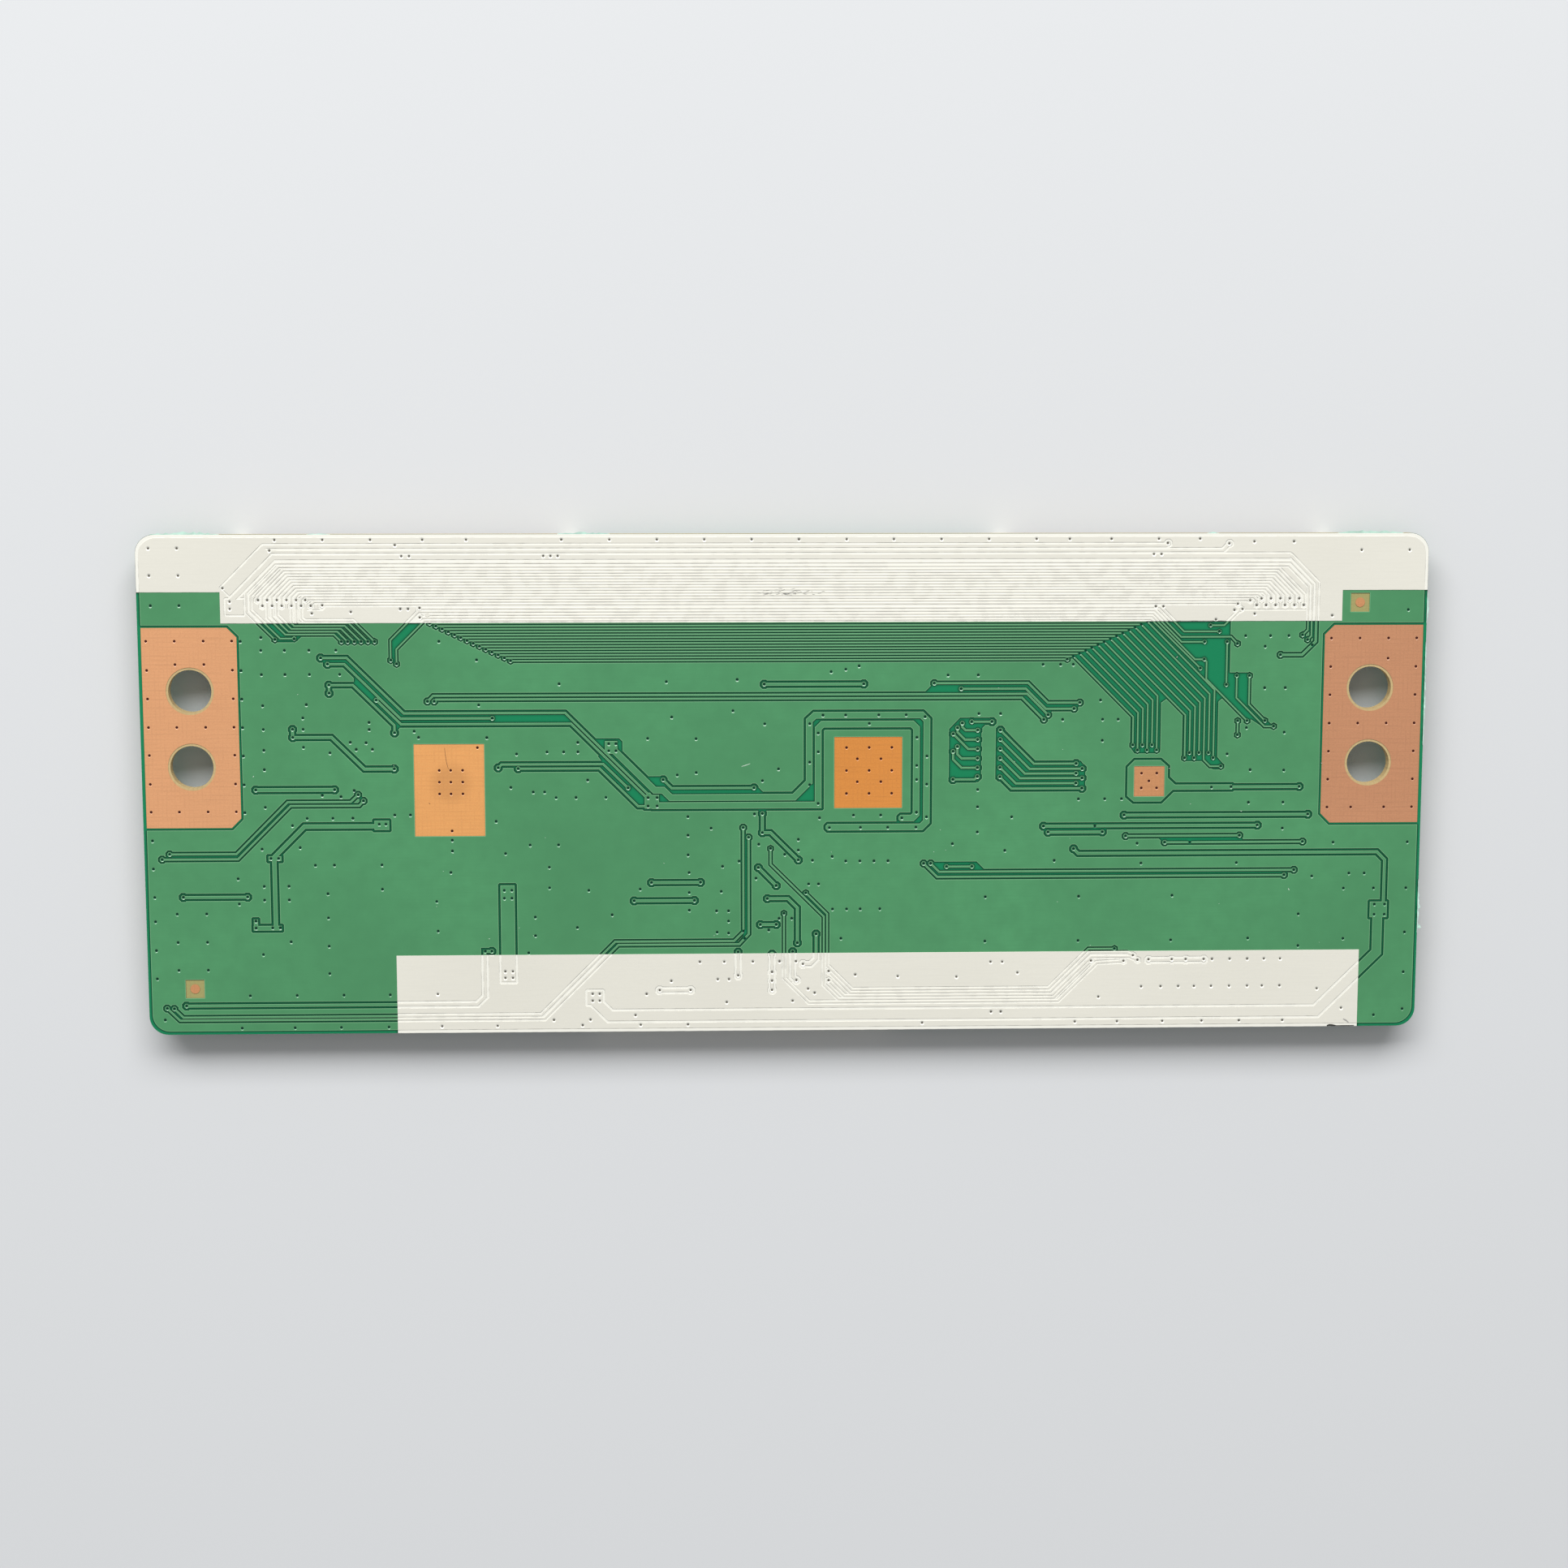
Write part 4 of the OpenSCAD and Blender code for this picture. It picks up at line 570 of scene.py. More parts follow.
def ink_finish(name, colours, floor, face):
    """Matt white ink: thin and greyer over the copper, full and white in the gaps, with ragged edges."""
    made = Finish(name, roughness=0.62)
    raised = made.group(relief_group(), floor, face)["Raised"]
    grain = made.grain(3600.0, 45.0)
    weave = made.group(weave_group())
    tone = made.toned(grain["Drift"], colours.ink, 0.965, 1.02)
    tone = made.tinted(tone, weave["Streak"], 0.14, colours.ink, 0.84)
    made.colour(mixed(made.tree, raised, colours.ink_full, tone))
    made.roughness(grain["Grain"], 0.52, 0.7)
    patchy = made.grain(2600.0, 800.0)
    ragged = remap(made.tree, patchy["Drift"], 0.35, 0.7, 0.28, 0.74)
    made.bump(grain["Grain"], 0.004, 0.5, edge=0.07, soft=ragged)
    return made.material


def copper_finish(name, colour, stain=None):
    """Bare coated copper with the cloth's print-through, and painted shade near its edges; the stain darkens
    a round place.
    """
    made = Finish(name, roughness=0.45, metallic=0.3)
    tree = made.tree
    grain = made.grain(6500.0, 55.0)
    weave = made.group(weave_group())
    tone = made.toned(grain["Drift"], colour, 0.92, 1.04)
    tone = made.tinted(tone, weave["Weave"], 0.45, colour, 0.6)
    tone = made.tinted(tone, weave["Streak"], 0.3, colour, 0.72)
    tone = made.tinted(tone, grain["Grain"], 0.3, colour, 1.3)
    if stain:
        x, y, reach = stain
        ends = {0: made.coords, 1: (x * MM, y * MM, PAD_TOP)}
        away = new_node(tree, "ShaderNodeVectorMath", ends, operation="DISTANCE")
        ragged = math_node(tree, "SUBTRACT", grain["Drift"], 0.5)
        ragged = math_node(tree, "MULTIPLY", ragged, 0.5 * reach * MM)
        far = math_node(tree, "ADD", away.outputs["Value"], ragged)
        near = remap(tree, far, 1.35 * reach * MM, 0.75 * reach * MM)
        tone = made.tinted(tone, near, 0.28, colour, 0.45)
    # Painted shade: the copper goes darker near walls and via bowls, by ambient occlusion.
    edge = made.openness(0.2, 0.5, 0.9)
    made.colour(mixed(tree, edge, scaled(colour, 0.42), tone))
    made.roughness(weave["Weave"], 0.4, 0.55)
    made.bump(weave["Weave"], 0.006, 0.5)
    return made.material


def laminate_finish(name, colour, face):
    """Glass-epoxy: greenish face with the cloth's threads, cream, layered and fibrous where it is cut."""
    ply = 0.2 * MM
    made = Finish(name, roughness=0.55)
    tree = made.tree
    grain = made.grain(5200.0, 90.0)
    weave = made.group(weave_group())
    place = axes(tree, made.coords)
    plies = math_node(tree, "SINE", math_node(tree, "MULTIPLY", place["Z"], math.tau / ply))
    tone = made.toned(grain["Drift"], colour, 0.88, 1.06)
    tone = mixed(tree, remap(tree, plies, -1.0, 1.0, 0.0, 0.35), tone, scaled(colour, 0.66))
    top = remap(tree, place["Z"], LAMINATE_TOP - 0.02 * MM, LAMINATE_TOP - 0.01 * MM)
    window = remap(tree, math_node(tree, "ABSOLUTE", place["Y"]), 15.5 * MM, 16.0 * MM)
    tone = mixed(tree, math_node(tree, "MULTIPLY", top, window), tone, face)
    tone = made.tinted(tone, weave["Weave"], 0.35, colour, 0.5)
    made.colour(tone)
    made.roughness(grain["Grain"], 0.45, 0.7)
    made.bump(grain["Grain"], 0.01, 0.6)
    return made.material


def grained_finish(name, colour, roughness, spread, fine, depth, metallic=0.0, drift=120.0, edge=0.0):
    """Moulded, pressed or plated surface: fine grain, slow drift of tone and painted shade in the corners."""
    made = Finish(name, roughness=roughness, metallic=metallic)
    grain = made.grain(fine, drift)
    tone = made.toned(grain["Drift"], colour, 1 - spread, 1 + spread)
    tone = made.tinted(tone, grain["Grain"], 0.25, colour, 1 - 1.6 * spread)
    # Painted shade: the colour goes darker in corners and hollows, by ambient occlusion.
    corner = made.openness(0.35, 0.3, 0.85)
    made.colour(mixed(made.tree, corner, scaled(colour, 0.55), tone))
    made.roughness(grain["Grain"], max(0.05, roughness - 0.08), min(1.0, roughness + 0.1))
    made.bump(grain["Grain"], depth, 0.6, edge=edge)
    return made.material


def resistor_finish(name, glaze, body):
    """Chip resistor: dark glaze on the face, pale ceramic on the sides."""
    made = Finish(name, roughness=0.35)
    tree = made.tree
    grain = made.grain(9000.0, 400.0)
    normal = tree.nodes.new("ShaderNodeNewGeometry").outputs["True Normal"]
    face = remap(tree, axes(tree, normal)["Z"], -0.6, -0.9)
    dark = made.toned(grain["Drift"], glaze, 0.8, 1.3)
    pale = made.toned(grain["Drift"], body, 0.9, 1.0)
    made.colour(mixed(tree, face, pale, dark))
    made.roughness(grain["Grain"], 0.25, 0.5)
    made.bump(grain["Grain"], 0.004, 0.5)
    return made.material


# Settings


def colour_setting(name, description, default):
    return FloatVectorProperty(
        name=name, description=description, subtype="COLOR", size=3, min=0.0, max=1.0, default=default
    )


class BoardColours(bpy.types.PropertyGroup):
    """Colours of the finishes."""

    mask_face: colour_setting("Mask face", "Solder mask over copper", (0.080, 0.290, 0.126))
    # Mask thinned at copper edges, partly a painted highlight on those edges.
    mask_rim_and_highlight: colour_setting("Mask rim", "Solder mask where it thins at a copper edge", (0.25, 0.52, 0.28))
    mask_floor: colour_setting("Mask floor", "Solder mask on the floor of a wide gap", (0.006, 0.215, 0.088))
    # Painted shade: dark colour of a narrow gap's floor between walls.
    mask_corner_shade: colour_setting("Mask corner", "Solder mask deep in a narrow gap", (0.0003, 0.058, 0.023))
    # Painted shade: dark inside of a via hole in the mask.
    mask_bowl_shade: colour_setting("Mask bowl", "Inside of a via in the mask", (0.003, 0.045, 0.024))
    ink: colour_setting("Ink", "White legend ink over copper", (0.77, 0.748, 0.658))
    ink_full: colour_setting("Full ink", "White legend ink in a gap", (0.87, 0.855, 0.77))
    # Painted shade: dark inside of a via hole under the ink.
    ink_bowl_shade: colour_setting("Ink bowl", "Inside of a via in the ink", (0.16, 0.145, 0.12))
    pad_left: colour_setting("Left pad", "Bare copper of the left ground pad", (0.85, 0.405, 0.192))
    pad_right: colour_setting("Right pad", "Bare copper of the right ground pad", (0.65, 0.304, 0.158))
    pad_regulator: colour_setting("Regulator pad", "Bare copper below the regulator", (0.97, 0.43, 0.141))
    pad_controller: colour_setting("Controller pad", "Bare copper below the controller", (0.85, 0.316, 0.064))
    pad_gamma: colour_setting("Gamma pad", "Bare copper below the gamma buffer", (0.69, 0.316, 0.137))
    # Painted shade: dark inside of a via hole in the copper.
    pad_bowl_shade: colour_setting("Pad bowl", "Inside of a via in bare copper", (0.06, 0.012, 0.008))
    laminate_face: colour_setting("Laminate face", "Glass-epoxy below a mask window", (0.36, 0.33, 0.12))
    laminate: colour_setting("Laminate", "Glass-epoxy of the board", (0.66, 0.49, 0.23))
    tin: colour_setting("Tin", "Plated leads, contacts and terminals", (0.62, 0.63, 0.64))
    resin: colour_setting("Resin", "Moulded chip bodies", (0.018, 0.018, 0.02))
    ivory: colour_setting("Ivory", "Socket housings", (0.78, 0.72, 0.57))
    brown: colour_setting("Brown", "Lock bars", (0.105, 0.05, 0.028))
    ferrite: colour_setting("Ferrite", "Inductor cores", (0.07, 0.07, 0.075))
    ceramic: colour_setting("Ceramic", "Capacitor bodies", (0.42, 0.28, 0.15))
    fuse: colour_setting("Fuse", "Body of the fuse", (0.72, 0.68, 0.58))
    glaze: colour_setting("Glaze", "Face of a resistor", (0.02, 0.02, 0.022))
    substrate: colour_setting("Substrate", "Sides of a resistor", (0.7, 0.69, 0.66))
    burr: colour_setting("Burr", "Slivers along the edges", (0.52, 0.75, 0.64))
    scuff: colour_setting("Scuff", "Scuffs on the ink", (0.42, 0.41, 0.38))
    bite: colour_setting("Bite", "Bitten place on the lower edge", (0.035, 0.035, 0.03))
    scratch: colour_setting("Scratch", "Scratches on copper", (0.16, 0.07, 0.03))
    fleck: colour_setting("Fleck", "Flecks on the mask", (0.62, 0.72, 0.62))


class BoardSizes(bpy.types.PropertyGroup):
    """Sizes of the details."""

    via_sides: IntProperty(name="Via sides", description="Facets around a via's bowl", default=14, min=6)
    outline_w: FloatProperty(
        name="Outline width", description="Width of the chip outlines", default=0.15 * MM, unit="LENGTH"
    )


class BoardStage(bpy.types.PropertyGroup):
    """Light and floor."""

    key_power: FloatProperty(
        name="Key", description="Power of the large soft light", default=13.5, unit="POWER"
    )
    sky: FloatProperty(name="Sky", description="Strength of the even light from all around", default=0.34)
    floor: colour_setting("Floor", "Pale floor", (0.70, 0.71, 0.72))


# Operators


class BoardOperator:
    """What the operators of this file share."""

    bl_options = {"REGISTER", "UNDO"}

    @staticmethod
    def settings():
        scene = bpy.context.scene
        return scene.board_colours, scene.board_sizes, sorted_vias()


# Rings of a dimple: radius and height in millimetres, and the number of the material below the ring
FILM_BOWL = ((0.23, 0.03, 1), (0.23, 0.0, 1), (0.15, -0.036, 2), (0.07, -0.08, 2))
INK_BOWL = ((0.24, 0.02, 1), (0.24, 0.0, 1), (0.17, -0.036, 1), (0.16, -0.06, 1))
SUNK_BOWL = ((0.17, 0.02, 3), (0.17, 0.0, 3), (0.125, -0.024, 4), (0.06, -0.075, 4))
FRONT_BOWL = ((0.2, -0.02, 1), (0.2, 0.0, 1), (0.14, 0.026, 2), (0.07, 0.045, 2))
PAD_BOWL = ((0.2, 0.02, 1), (0.2, 0.0, 1), (0.15, -0.02, 2), (0.08, -0.046, 2))


class BOARD_OT_solder_mask(BoardOperator, bpy.types.Operator):
    """Green mask of the solder side with a dimple at each tented via"""

    bl_idname = "board.solder_mask"
    bl_label = "Solder mask"

    def execute(self, context):
        colours, sizes, vias = self.settings()
        film = mask_finish("solder_mask_green", colours, MASK_TOP - RELIEF, MASK_TOP)
        # The bowl colours are painted shade: dark colours for the depth of each via hole.
        sunk = [
            bowl_finish("via_lip_green", scaled(colours.mask_face, 1.1), 0.17, 0.9),
            bowl_finish("via_bowl_green", colours.mask_bowl_shade),
            bowl_finish("via_lip_inked", colours.ink_full, 0.35, 0.8),
            bowl_finish("via_bowl_inked", colours.ink_bowl_shade),
        ]
        dimples = [(vias["solder_mask_back"], MASK_TOP, FILM_BOWL)]
        dimples += [(vias[node], MASK_TOP, SUNK_BOWL) for node in INK_NODES]
        dimpled_film("solder_mask_back", "mask_with_vias", "mask_back", dimples, sizes.via_sides, film, *sunk)
        return {"FINISHED"}


class BOARD_OT_ink_bands(BoardOperator, bpy.types.Operator):
    """White ink bands, sunk and open at each via"""

    bl_idname = "board.ink_bands"
    bl_label = "Ink bands"

    def execute(self, context):
        colours, sizes, vias = self.settings()
        film = ink_finish("legend_ink_white", colours, INK_TOP - INK_RELIEF, INK_TOP)
        wall = bowl_finish("via_lip_ink", colours.ink_full, 0.35, 0.8)
        for node in INK_NODES:
            dimples = [(vias[node], INK_TOP, INK_BOWL)]
            dimpled_film(node, node + "_vias", "white_ink", dimples, sizes.via_sides, film, wall)
        return {"FINISHED"}


class BOARD_OT_copper_pads(BoardOperator, bpy.types.Operator):
    """Bare copper pads with their via holes, and the fiducial dots"""

    bl_idname = "board.copper_pads"
    bl_label = "Copper pads"

    # Middle and reach of the darkened place below the regulator, in millimetres
    STAIN = (-35.45, 0.45, 1.9)

    def execute(self, context):
        colours, sizes, vias = self.settings()
        # Painted shade: dark bottom of each via in the copper.
        bowl = bowl_finish("via_bowl_copper", colours.pad_bowl_shade)
        for node in COPPER_NODES:
            colour = getattr(colours, "pad_" + node.rsplit("_", 1)[1])
            stain = self.STAIN if node == "heat_pad_regulator" else None
            finish = copper_finish("copper_" + node, colour, stain)
            slot = "ground_copper" if node.startswith("ground") else "heat_copper"
            dimples = [(vias[node], PAD_TOP, PAD_BOWL)]
            lip = bowl_finish("via_lip_" + node, colour, 0.25, 0.8)
            dimpled_film(node, node + "_copper", slot, dimples, sizes.via_sides, finish, lip, bowl)
        dress(copper_finish("copper_fiducials", colours.pad_gamma), "fiducial_dots")
        return {"FINISHED"}


class BOARD_OT_laminate(BoardOperator, bpy.types.Operator):
    """Glass-epoxy board"""

    bl_idname = "board.laminate"
    bl_label = "Laminate"

    def execute(self, context):
        colours = context.scene.board_colours
        dress(laminate_finish("glass_epoxy", colours.laminate, colours.laminate_face), "board_laminate")
        return {"FINISHED"}


class BOARD_OT_edge_burrs(BoardOperator, bpy.types.Operator):
    """Slivers of mask and resin that the router left along the edges"""

    bl_idname = "board.edge_burrs"
    bl_label = "Edge burrs"

    # Start and end along the edge, widest reach, all in millimetres
    TOP_RUNS = (
        (-66.2, -59.0, 0.32), (-24.0, -18.5, 0.24), (44.2, 45.4, 0.15), (58.0, 65.0, 0.3),
        (-50.0, -47.5, 0.1),
    )
    RIGHT_RUNS = (
        (-16.3, -10.5, 0.16), (-15.95, -15.3, 0.5), (-13.9, -13.1, 0.3), (4.0, 15.0, 0.14),
        (17.0, 20.3, 0.2),
    )
    # Length between the jags in millimetres, fewest jags, and how deep a sliver sits in the board
    JAG = 0.28
    LEAST_JAGS = 6
    TUCK = 0.03 * MM
    SEED = 11

    def sliver(self, bm, rng, run, along_x):
        """Adds a ragged wedge along the top edge or the right edge."""
        start, end, reach = run
        steps = max(self.LEAST_JAGS, int(abs(end - start) / self.JAG))
        edge = CAD_BOX[1].y if along_x else CAD_BOX[1].x
        rows = []
        for i in range(steps + 1):
            t = i / steps
            at = (start + (end - start) * t) * MM
            out = reach * MM * (math.sin(math.pi * t) ** 0.6) * rng.uniform(0.25, 1.0)
            low = MASK_TOP - rng.uniform(0.1, 0.3) * MM
            high = MASK_TOP - rng.uniform(0.0, 0.05) * MM
            corners = ((edge - self.TUCK, high), (edge + out, high), (edge - self.TUCK, low))
            rows.append([bm.verts.new((at, w, z) if along_x else (w, at, z)) for w, z in corners])
        add_loft(bm, rows)

    def execute(self, context):
        colours = context.scene.board_colours
        rng = random.Random(self.SEED)
        bm = bmesh.new()
        for run in self.TOP_RUNS:
            self.sliver(bm, rng, run, True)
        for run in self.RIGHT_RUNS:
            self.sliver(bm, rng, run, False)
        bmesh.ops.recalc_face_normals(bm, faces=bm.faces)
        finish = grained_finish("burr_pale", colours.burr, 0.5, 0.2, 2500.0, 0.01, drift=900.0)
        mesh_object("edge_burrs", bm, "board", "mask_back", finish)
        return {"FINISHED"}


class BOARD_OT_wear(BoardOperator, bpy.types.Operator):
    """Scuffs, scratches and flecks on the solder side"""

    bl_idname = "board.wear"
    bl_label = "Wear"

    # Strokes in millimetres: the points of a line and its greatest width
    SCRAPE = ([(60.0, -25.7), (60.3, -25.85), (60.6, -26.1)], 0.17)
    BITES = (
        ([(58.25, -26.44), (58.5, -26.36), (58.8, -26.38), (59.2, -26.43)], 0.22),
        ([(59.1, -26.43), (60.0, -26.44), (61.2, -26.42)], 0.1),
    )
    SCRATCHES = (
        ([(-36.05, 4.1), (-35.98, 3.3), (-35.86, 2.5), (-35.68, 1.85)], 0.05),
        ([(-37.8, -1.75), (-37.65, -1.85)], 0.07),
    )
    FLECKS = (
        ([(-4.8, 2.0), (-4.4, 2.12), (-3.9, 2.3)], 0.06),
        ([(53.7, -11.4), (53.8, -11.6)], 0.09),
        ([(-56.15, 1.1), (-56.05, 1.2)], 0.08),
        ([(41.2, 13.4), (41.3, 13.5)], 0.08),
    )
    # Middle of the scuffed place in millimetres, and the numbers of random marks
    SCUFFED = (-0.6, 20.32)
    SCUFF_COUNT = 46
    FLECK_TRIES = 26
    SEED = 5
    THICKNESS = 0.004 * MM

    def stroke(self, bm, points, width, z):
        """Adds a thin lens-shaped mark along a line of points."""
        count = len(points)
        section = ((1, 0.0), (-1, 0.0), (-1, self.THICKNESS), (1, self.THICKNESS))
        rows = []
        for i, (x, y) in enumerate(points):
            a = Vector(points[max(0, i - 1)])
            b = Vector(points[min(count - 1, i + 1)])
            across = (b - a).normalized().orthogonal()
            half = 0.5 * width * (0.25 + 0.75 * math.sin(math.pi * (i + 0.5) / count))
            corners = [
                ((x + s * across.x * half) * MM, (y + s * across.y * half) * MM, z + h) for s, h in section
            ]
            rows.append([bm.verts.new(corner) for corner in corners])
        add_loft(bm, rows)

    def marks(self, name, slot, strokes, z, finish, colour, roughness, spread):
        """Makes one piece of all the strokes of a kind."""
        bm = bmesh.new()
        for points, width in strokes:
            self.stroke(bm, points, width, z)
        bmesh.ops.recalc_face_normals(bm, faces=bm.faces)
        material = grained_finish(finish, colour, roughness, spread, 3000.0, 0.003, drift=800.0)
        mesh_object(name, bm, "board", slot, material)

    def execute(self, context):
        colours = context.scene.board_colours
        rng = random.Random(self.SEED)
        scuffs = []
        for _ in range(self.SCUFF_COUNT):
            x = rng.gauss(self.SCUFFED[0], 1.5)
            y = self.SCUFFED[1] + rng.gauss(0.0, 0.16)
            length = rng.uniform(0.12, 0.6)
            tilt = rng.uniform(-0.25, 0.35)
            line = []
            for t in (0.0, 0.33, 0.66, 1.0):
                line.append((x + length * t, y + length * t * tilt + rng.uniform(-0.02, 0.02)))
            scuffs.append((line, rng.uniform(0.03, 0.07)))
        scuffs.append(self.SCRAPE)
        flecks = list(self.FLECKS)
        for _ in range(self.FLECK_TRIES):
            x, y = rng.uniform(-55.0, 60.0), rng.uniform(-17.5, 12.0)
            if zone_of(x, y) == "solder_mask_back":
                end = (x + rng.uniform(0.04, 0.16), y + rng.uniform(-0.05, 0.05))
                flecks.append(([(x, y), end], 0.05))
        self.marks("ink_scuffs", "white_ink", scuffs, INK_TOP, "scuff_grey", colours.scuff, 0.7, 0.25)
        self.marks("edge_bite", "white_ink", self.BITES, INK_TOP, "bite_dark", colours.bite, 0.7, 0.3)
        self.marks(
            "pad_scratches", "heat_copper", self.SCRATCHES, PAD_TOP, "scratch_dark", colours.scratch, 0.6, 0.2
        )
        self.marks("mask_flecks", "mask_back", flecks, MASK_TOP, "fleck_pale", colours.fleck, 0.6, 0.2)
        return {"FINISHED"}


class BOARD_OT_component_side(BoardOperator, bpy.types.Operator):
    """Vias and printed outlines of the component side"""

    bl_idname = "board.component_side"
    bl_label = "Component side"

    FRAMED = (
        "controller_body", "regulator_body", "gamma_body", "memory_body",
        "left_socket_housing", "right_socket_housing", "input_socket_housing", "fuse_body",
    )
    # Height of the outlines, their distance from the parts and from the controller, and the edge's margin
    RISE = 0.02 * MM
    GAP = 1.35 * MM
    WIDE_GAP = 1.6 * MM
    MARGIN = 0.3 * MM

    def execute(self, context):
        colours, sizes, vias = self.settings()
        bm = bmesh.new()
        line = sizes.outline_w
        low, high = FRONT_FACE - self.RISE, FRONT_FACE
        for node in self.FRAMED:
            a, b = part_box(node)
            gap = self.WIDE_GAP if node == "controller_body" else self.GAP
            x0, x1 = a.x - gap, b.x + gap
            y0 = max(a.y - gap, -CAD_BOX[1].y + self.MARGIN)
            y1 = min(b.y + gap, CAD_BOX[1].y - self.MARGIN)
            add_block(bm, (x0, y0, low), (x1, y0 + line, high))
            add_block(bm, (x0, y1 - line, low), (x1, y1, high))
            add_block(bm, (x0, y0 + line, low), (x0 + line, y1 - line, high))
            add_block(bm, (x1 - line, y0 + line, low), (x1, y1 - line, high))
        bmesh.ops.recalc_face_normals(bm, faces=bm.faces)
        finish = grained_finish("outline_ink", colours.ink, 0.6, 0.06, 3600.0, 0.003)
        mesh_object("chip_outlines", bm, "board", "white_ink", finish)
        green = colours.mask_face
        films = [
            grained_finish("mask_green_front", green, 0.36, 0.1, 5200.0, 0.002, drift=60.0),
            bowl_finish("via_lip_front", scaled(green, 1.1), 0.17, 0.9),
            # Painted shade: dark bottom of each via in the front mask.
            bowl_finish("via_bowl_front", colours.mask_bowl_shade),
        ]
        places = [place for zone in vias.values() for place in zone]
        dimples = [(places, FRONT_FACE, FRONT_BOWL)]
        dimpled_film("solder_mask_front", "front_mask_vias", "mask_front", dimples, sizes.via_sides, *films)
        return {"FINISHED"}


class BOARD_OT_sockets(BoardOperator, bpy.types.Operator):
    """Finishes of the three cable sockets"""

    bl_idname = "board.sockets"
    bl_label = "Sockets"

    def execute(self, context):
        colours = context.scene.board_colours
        ivory = grained_finish("socket_ivory", colours.ivory, 0.5, 0.05, 7000.0, 0.004, edge=0.05)
        brown = grained_finish("lock_brown", colours.brown, 0.42, 0.12, 7000.0, 0.004, edge=0.08)
        plate = grained_finish("plated_tin", colours.tin, 0.5, 0.08, 5000.0, 0.003, metallic=0.9)
        steel = scaled(colours.tin, 0.95)
        shell = grained_finish("shell_steel", steel, 0.27, 0.06, 2600.0, 0.003, metallic=1.0, edge=0.06)
        dress(ivory, "left_socket_housing", "right_socket_housing", "input_socket_housing")
        dress(brown, "left_lock_bar", "right_lock_bar")
        dress(plate, "left_socket_contacts", "right_socket_contacts", "input_socket_contacts")
        dress(plate, "left_socket_tabs", "right_socket_tabs")
        dress(shell, "input_socket_shell")
        return {"FINISHED"}


class BOARD_OT_chips(BoardOperator, bpy.types.Operator):
    """Finishes of the chips and small parts"""

    bl_idname = "board.chips"
    bl_label = "Chips"

    def execute(self, context):
        colours = context.scene.board_colours
        resin = grained_finish("chip_resin", colours.resin, 0.55, 0.3, 9000.0, 0.008, edge=0.08)
        tin = grained_finish("lead_tin", colours.tin, 0.34, 0.1, 6000.0, 0.004, metallic=1.0)
        core = grained_finish("core_ferrite", colours.ferrite, 0.7, 0.25, 5200.0, 0.012, edge=0.12)
        ceramic = grained_finish("capacitor_ceramic", colours.ceramic, 0.6, 0.14, 8000.0, 0.006, edge=0.06)
        pale = grained_finish("fuse_ceramic", colours.fuse, 0.5, 0.06, 8000.0, 0.004, edge=0.05)
        dress(resin, "controller_body", "regulator_body", "gamma_body", "memory_body")
        dress(resin, "diode_bodies", "transistor_bodies")
        dress(tin, "controller_leads", "controller_slug", "regulator_terminals", "gamma_terminals")
        dress(tin, "memory_leads", "inductor_terminals", "diode_tabs", "bulk_capacitor_ends")
        dress(tin, "chip_capacitor_ends", "resistor_ends", "transistor_leads", "fuse_ends")
        dress(core, "inductor_cores")
        dress(ceramic, "bulk_capacitor_bodies", "chip_capacitor_bodies")
        dress(pale, "fuse_body")
        dress(resistor_finish("resistor_glaze", colours.glaze, colours.substrate), "resistor_bodies")
        return {"FINISHED"}


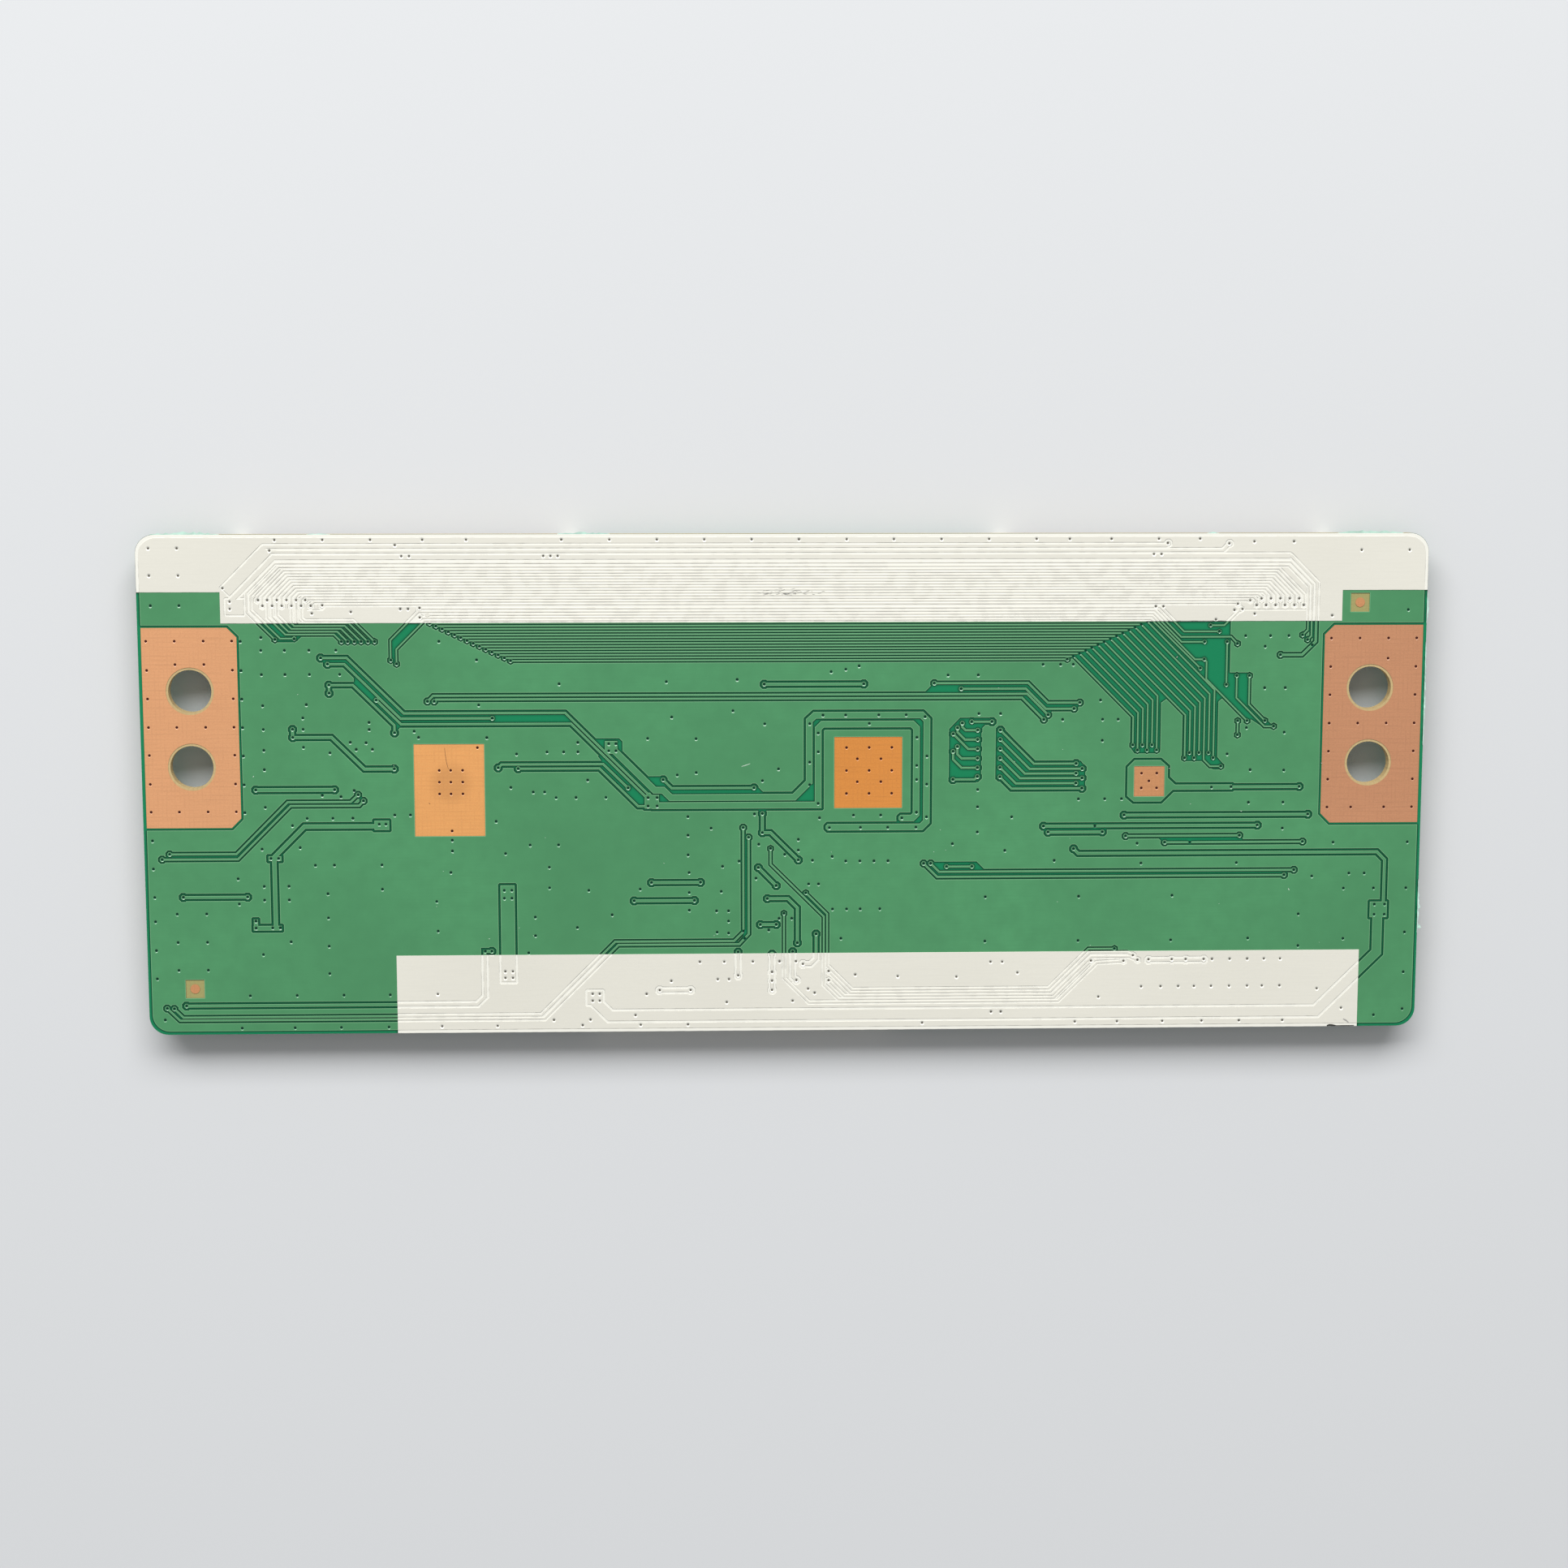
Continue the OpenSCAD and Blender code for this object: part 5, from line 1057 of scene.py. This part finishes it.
class BOARD_OT_stage(BoardOperator, bpy.types.Operator):
    """Pale floor, soft light from the upper edge and the camera of the photograph"""

    bl_idname = "board.stage"
    bl_label = "Stage"

    # Camera fitted to the board's corners: millimetres from the middle of the mask's face, and degrees
    CAMERA_AT = (-9.35, 35.9, 274.0)
    CAMERA_TURN = (-7.437, -1.889, -0.013)
    CAMERA_LENS = 59.98
    SENSOR = 36.0
    CLIP = (0.01, 20.0)
    # Lamp and floor, in metres, and the tint of the even light
    LAMP_SIZE = (1.3, 0.45)
    LAMP_AT = (-0.08, 0.72, 0.66)
    FLOOR_HALF = 4.0
    SKY_TINT = (0.96, 0.98, 1.0, 1.0)

    def execute(self, context):
        scene = context.scene
        stage = scene.board_stage
        scene.view_settings.view_transform = "Standard"
        finish = Finish("floor_pale", roughness=0.8)
        finish.colour(finish.toned(finish.grain(900.0, 3.0)["Drift"], stage.floor, 0.985, 1.0))
        bm = bmesh.new()
        bmesh.ops.create_grid(bm, x_segments=2, y_segments=2, size=self.FLOOR_HALF)
        floor = new_object("floor", bm, finish.material)

        light = bpy.data.lights.new("window", "AREA")
        light.shape = "RECTANGLE"
        light.size, light.size_y = self.LAMP_SIZE
        light.energy = stage.key_power
        window = bpy.data.objects.new("window", light)
        window.location = self.LAMP_AT
        window.rotation_euler = (-window.location).to_track_quat("-Z", "Y").to_euler()
        scene.collection.objects.link(window)

        world = bpy.data.worlds.new("studio")
        world.use_nodes = True
        back = world.node_tree.nodes["Background"]
        back.inputs["Color"].default_value = self.SKY_TINT
        back.inputs["Strength"].default_value = stage.sky
        scene.world = world

        data = bpy.data.cameras.new("camera")
        data.sensor_width = self.SENSOR
        data.lens = self.CAMERA_LENS
        data.clip_start, data.clip_end = self.CLIP
        camera = bpy.data.objects.new("camera", data)
        camera.location = Vector(self.CAMERA_AT) * MM + Vector((0.0, 0.0, MASK_TOP))
        camera.rotation_euler = [math.radians(a) for a in self.CAMERA_TURN]
        scene.collection.objects.link(camera)
        scene.camera = camera
        return {"FINISHED"}


OPERATORS = (
    BOARD_OT_stage,
    BOARD_OT_solder_mask,
    BOARD_OT_ink_bands,
    BOARD_OT_copper_pads,
    BOARD_OT_laminate,
    BOARD_OT_edge_burrs,
    BOARD_OT_wear,
    BOARD_OT_component_side,
    BOARD_OT_sockets,
    BOARD_OT_chips,
)


class BOARD_PT_tools(bpy.types.Panel):
    """Lists the steps that dress the board"""

    bl_idname = "BOARD_PT_tools"
    bl_label = "Timing control board"
    bl_space_type = "VIEW_3D"
    bl_region_type = "UI"
    bl_category = "Board"

    def draw(self, context):
        for step in OPERATORS:
            self.layout.operator(step.bl_idname)


SETTINGS = {"board_colours": BoardColours, "board_sizes": BoardSizes, "board_stage": BoardStage}
CLASSES = (*SETTINGS.values(), *OPERATORS, BOARD_PT_tools)


def register():
    for cls in CLASSES:
        bpy.utils.register_class(cls)
    for name, cls in SETTINGS.items():
        setattr(bpy.types.Scene, name, PointerProperty(type=cls))


def unregister():
    for name in SETTINGS:
        delattr(bpy.types.Scene, name)
    for cls in reversed(CLASSES):
        bpy.utils.unregister_class(cls)


def main():
    register()
    bpy.ops.board.stage()
    bpy.ops.board.solder_mask()
    bpy.ops.board.ink_bands()
    bpy.ops.board.copper_pads()
    bpy.ops.board.laminate()
    bpy.ops.board.edge_burrs()
    bpy.ops.board.wear()
    bpy.ops.board.component_side()
    bpy.ops.board.sockets()
    bpy.ops.board.chips()


if __name__ == "__main__":
    main()
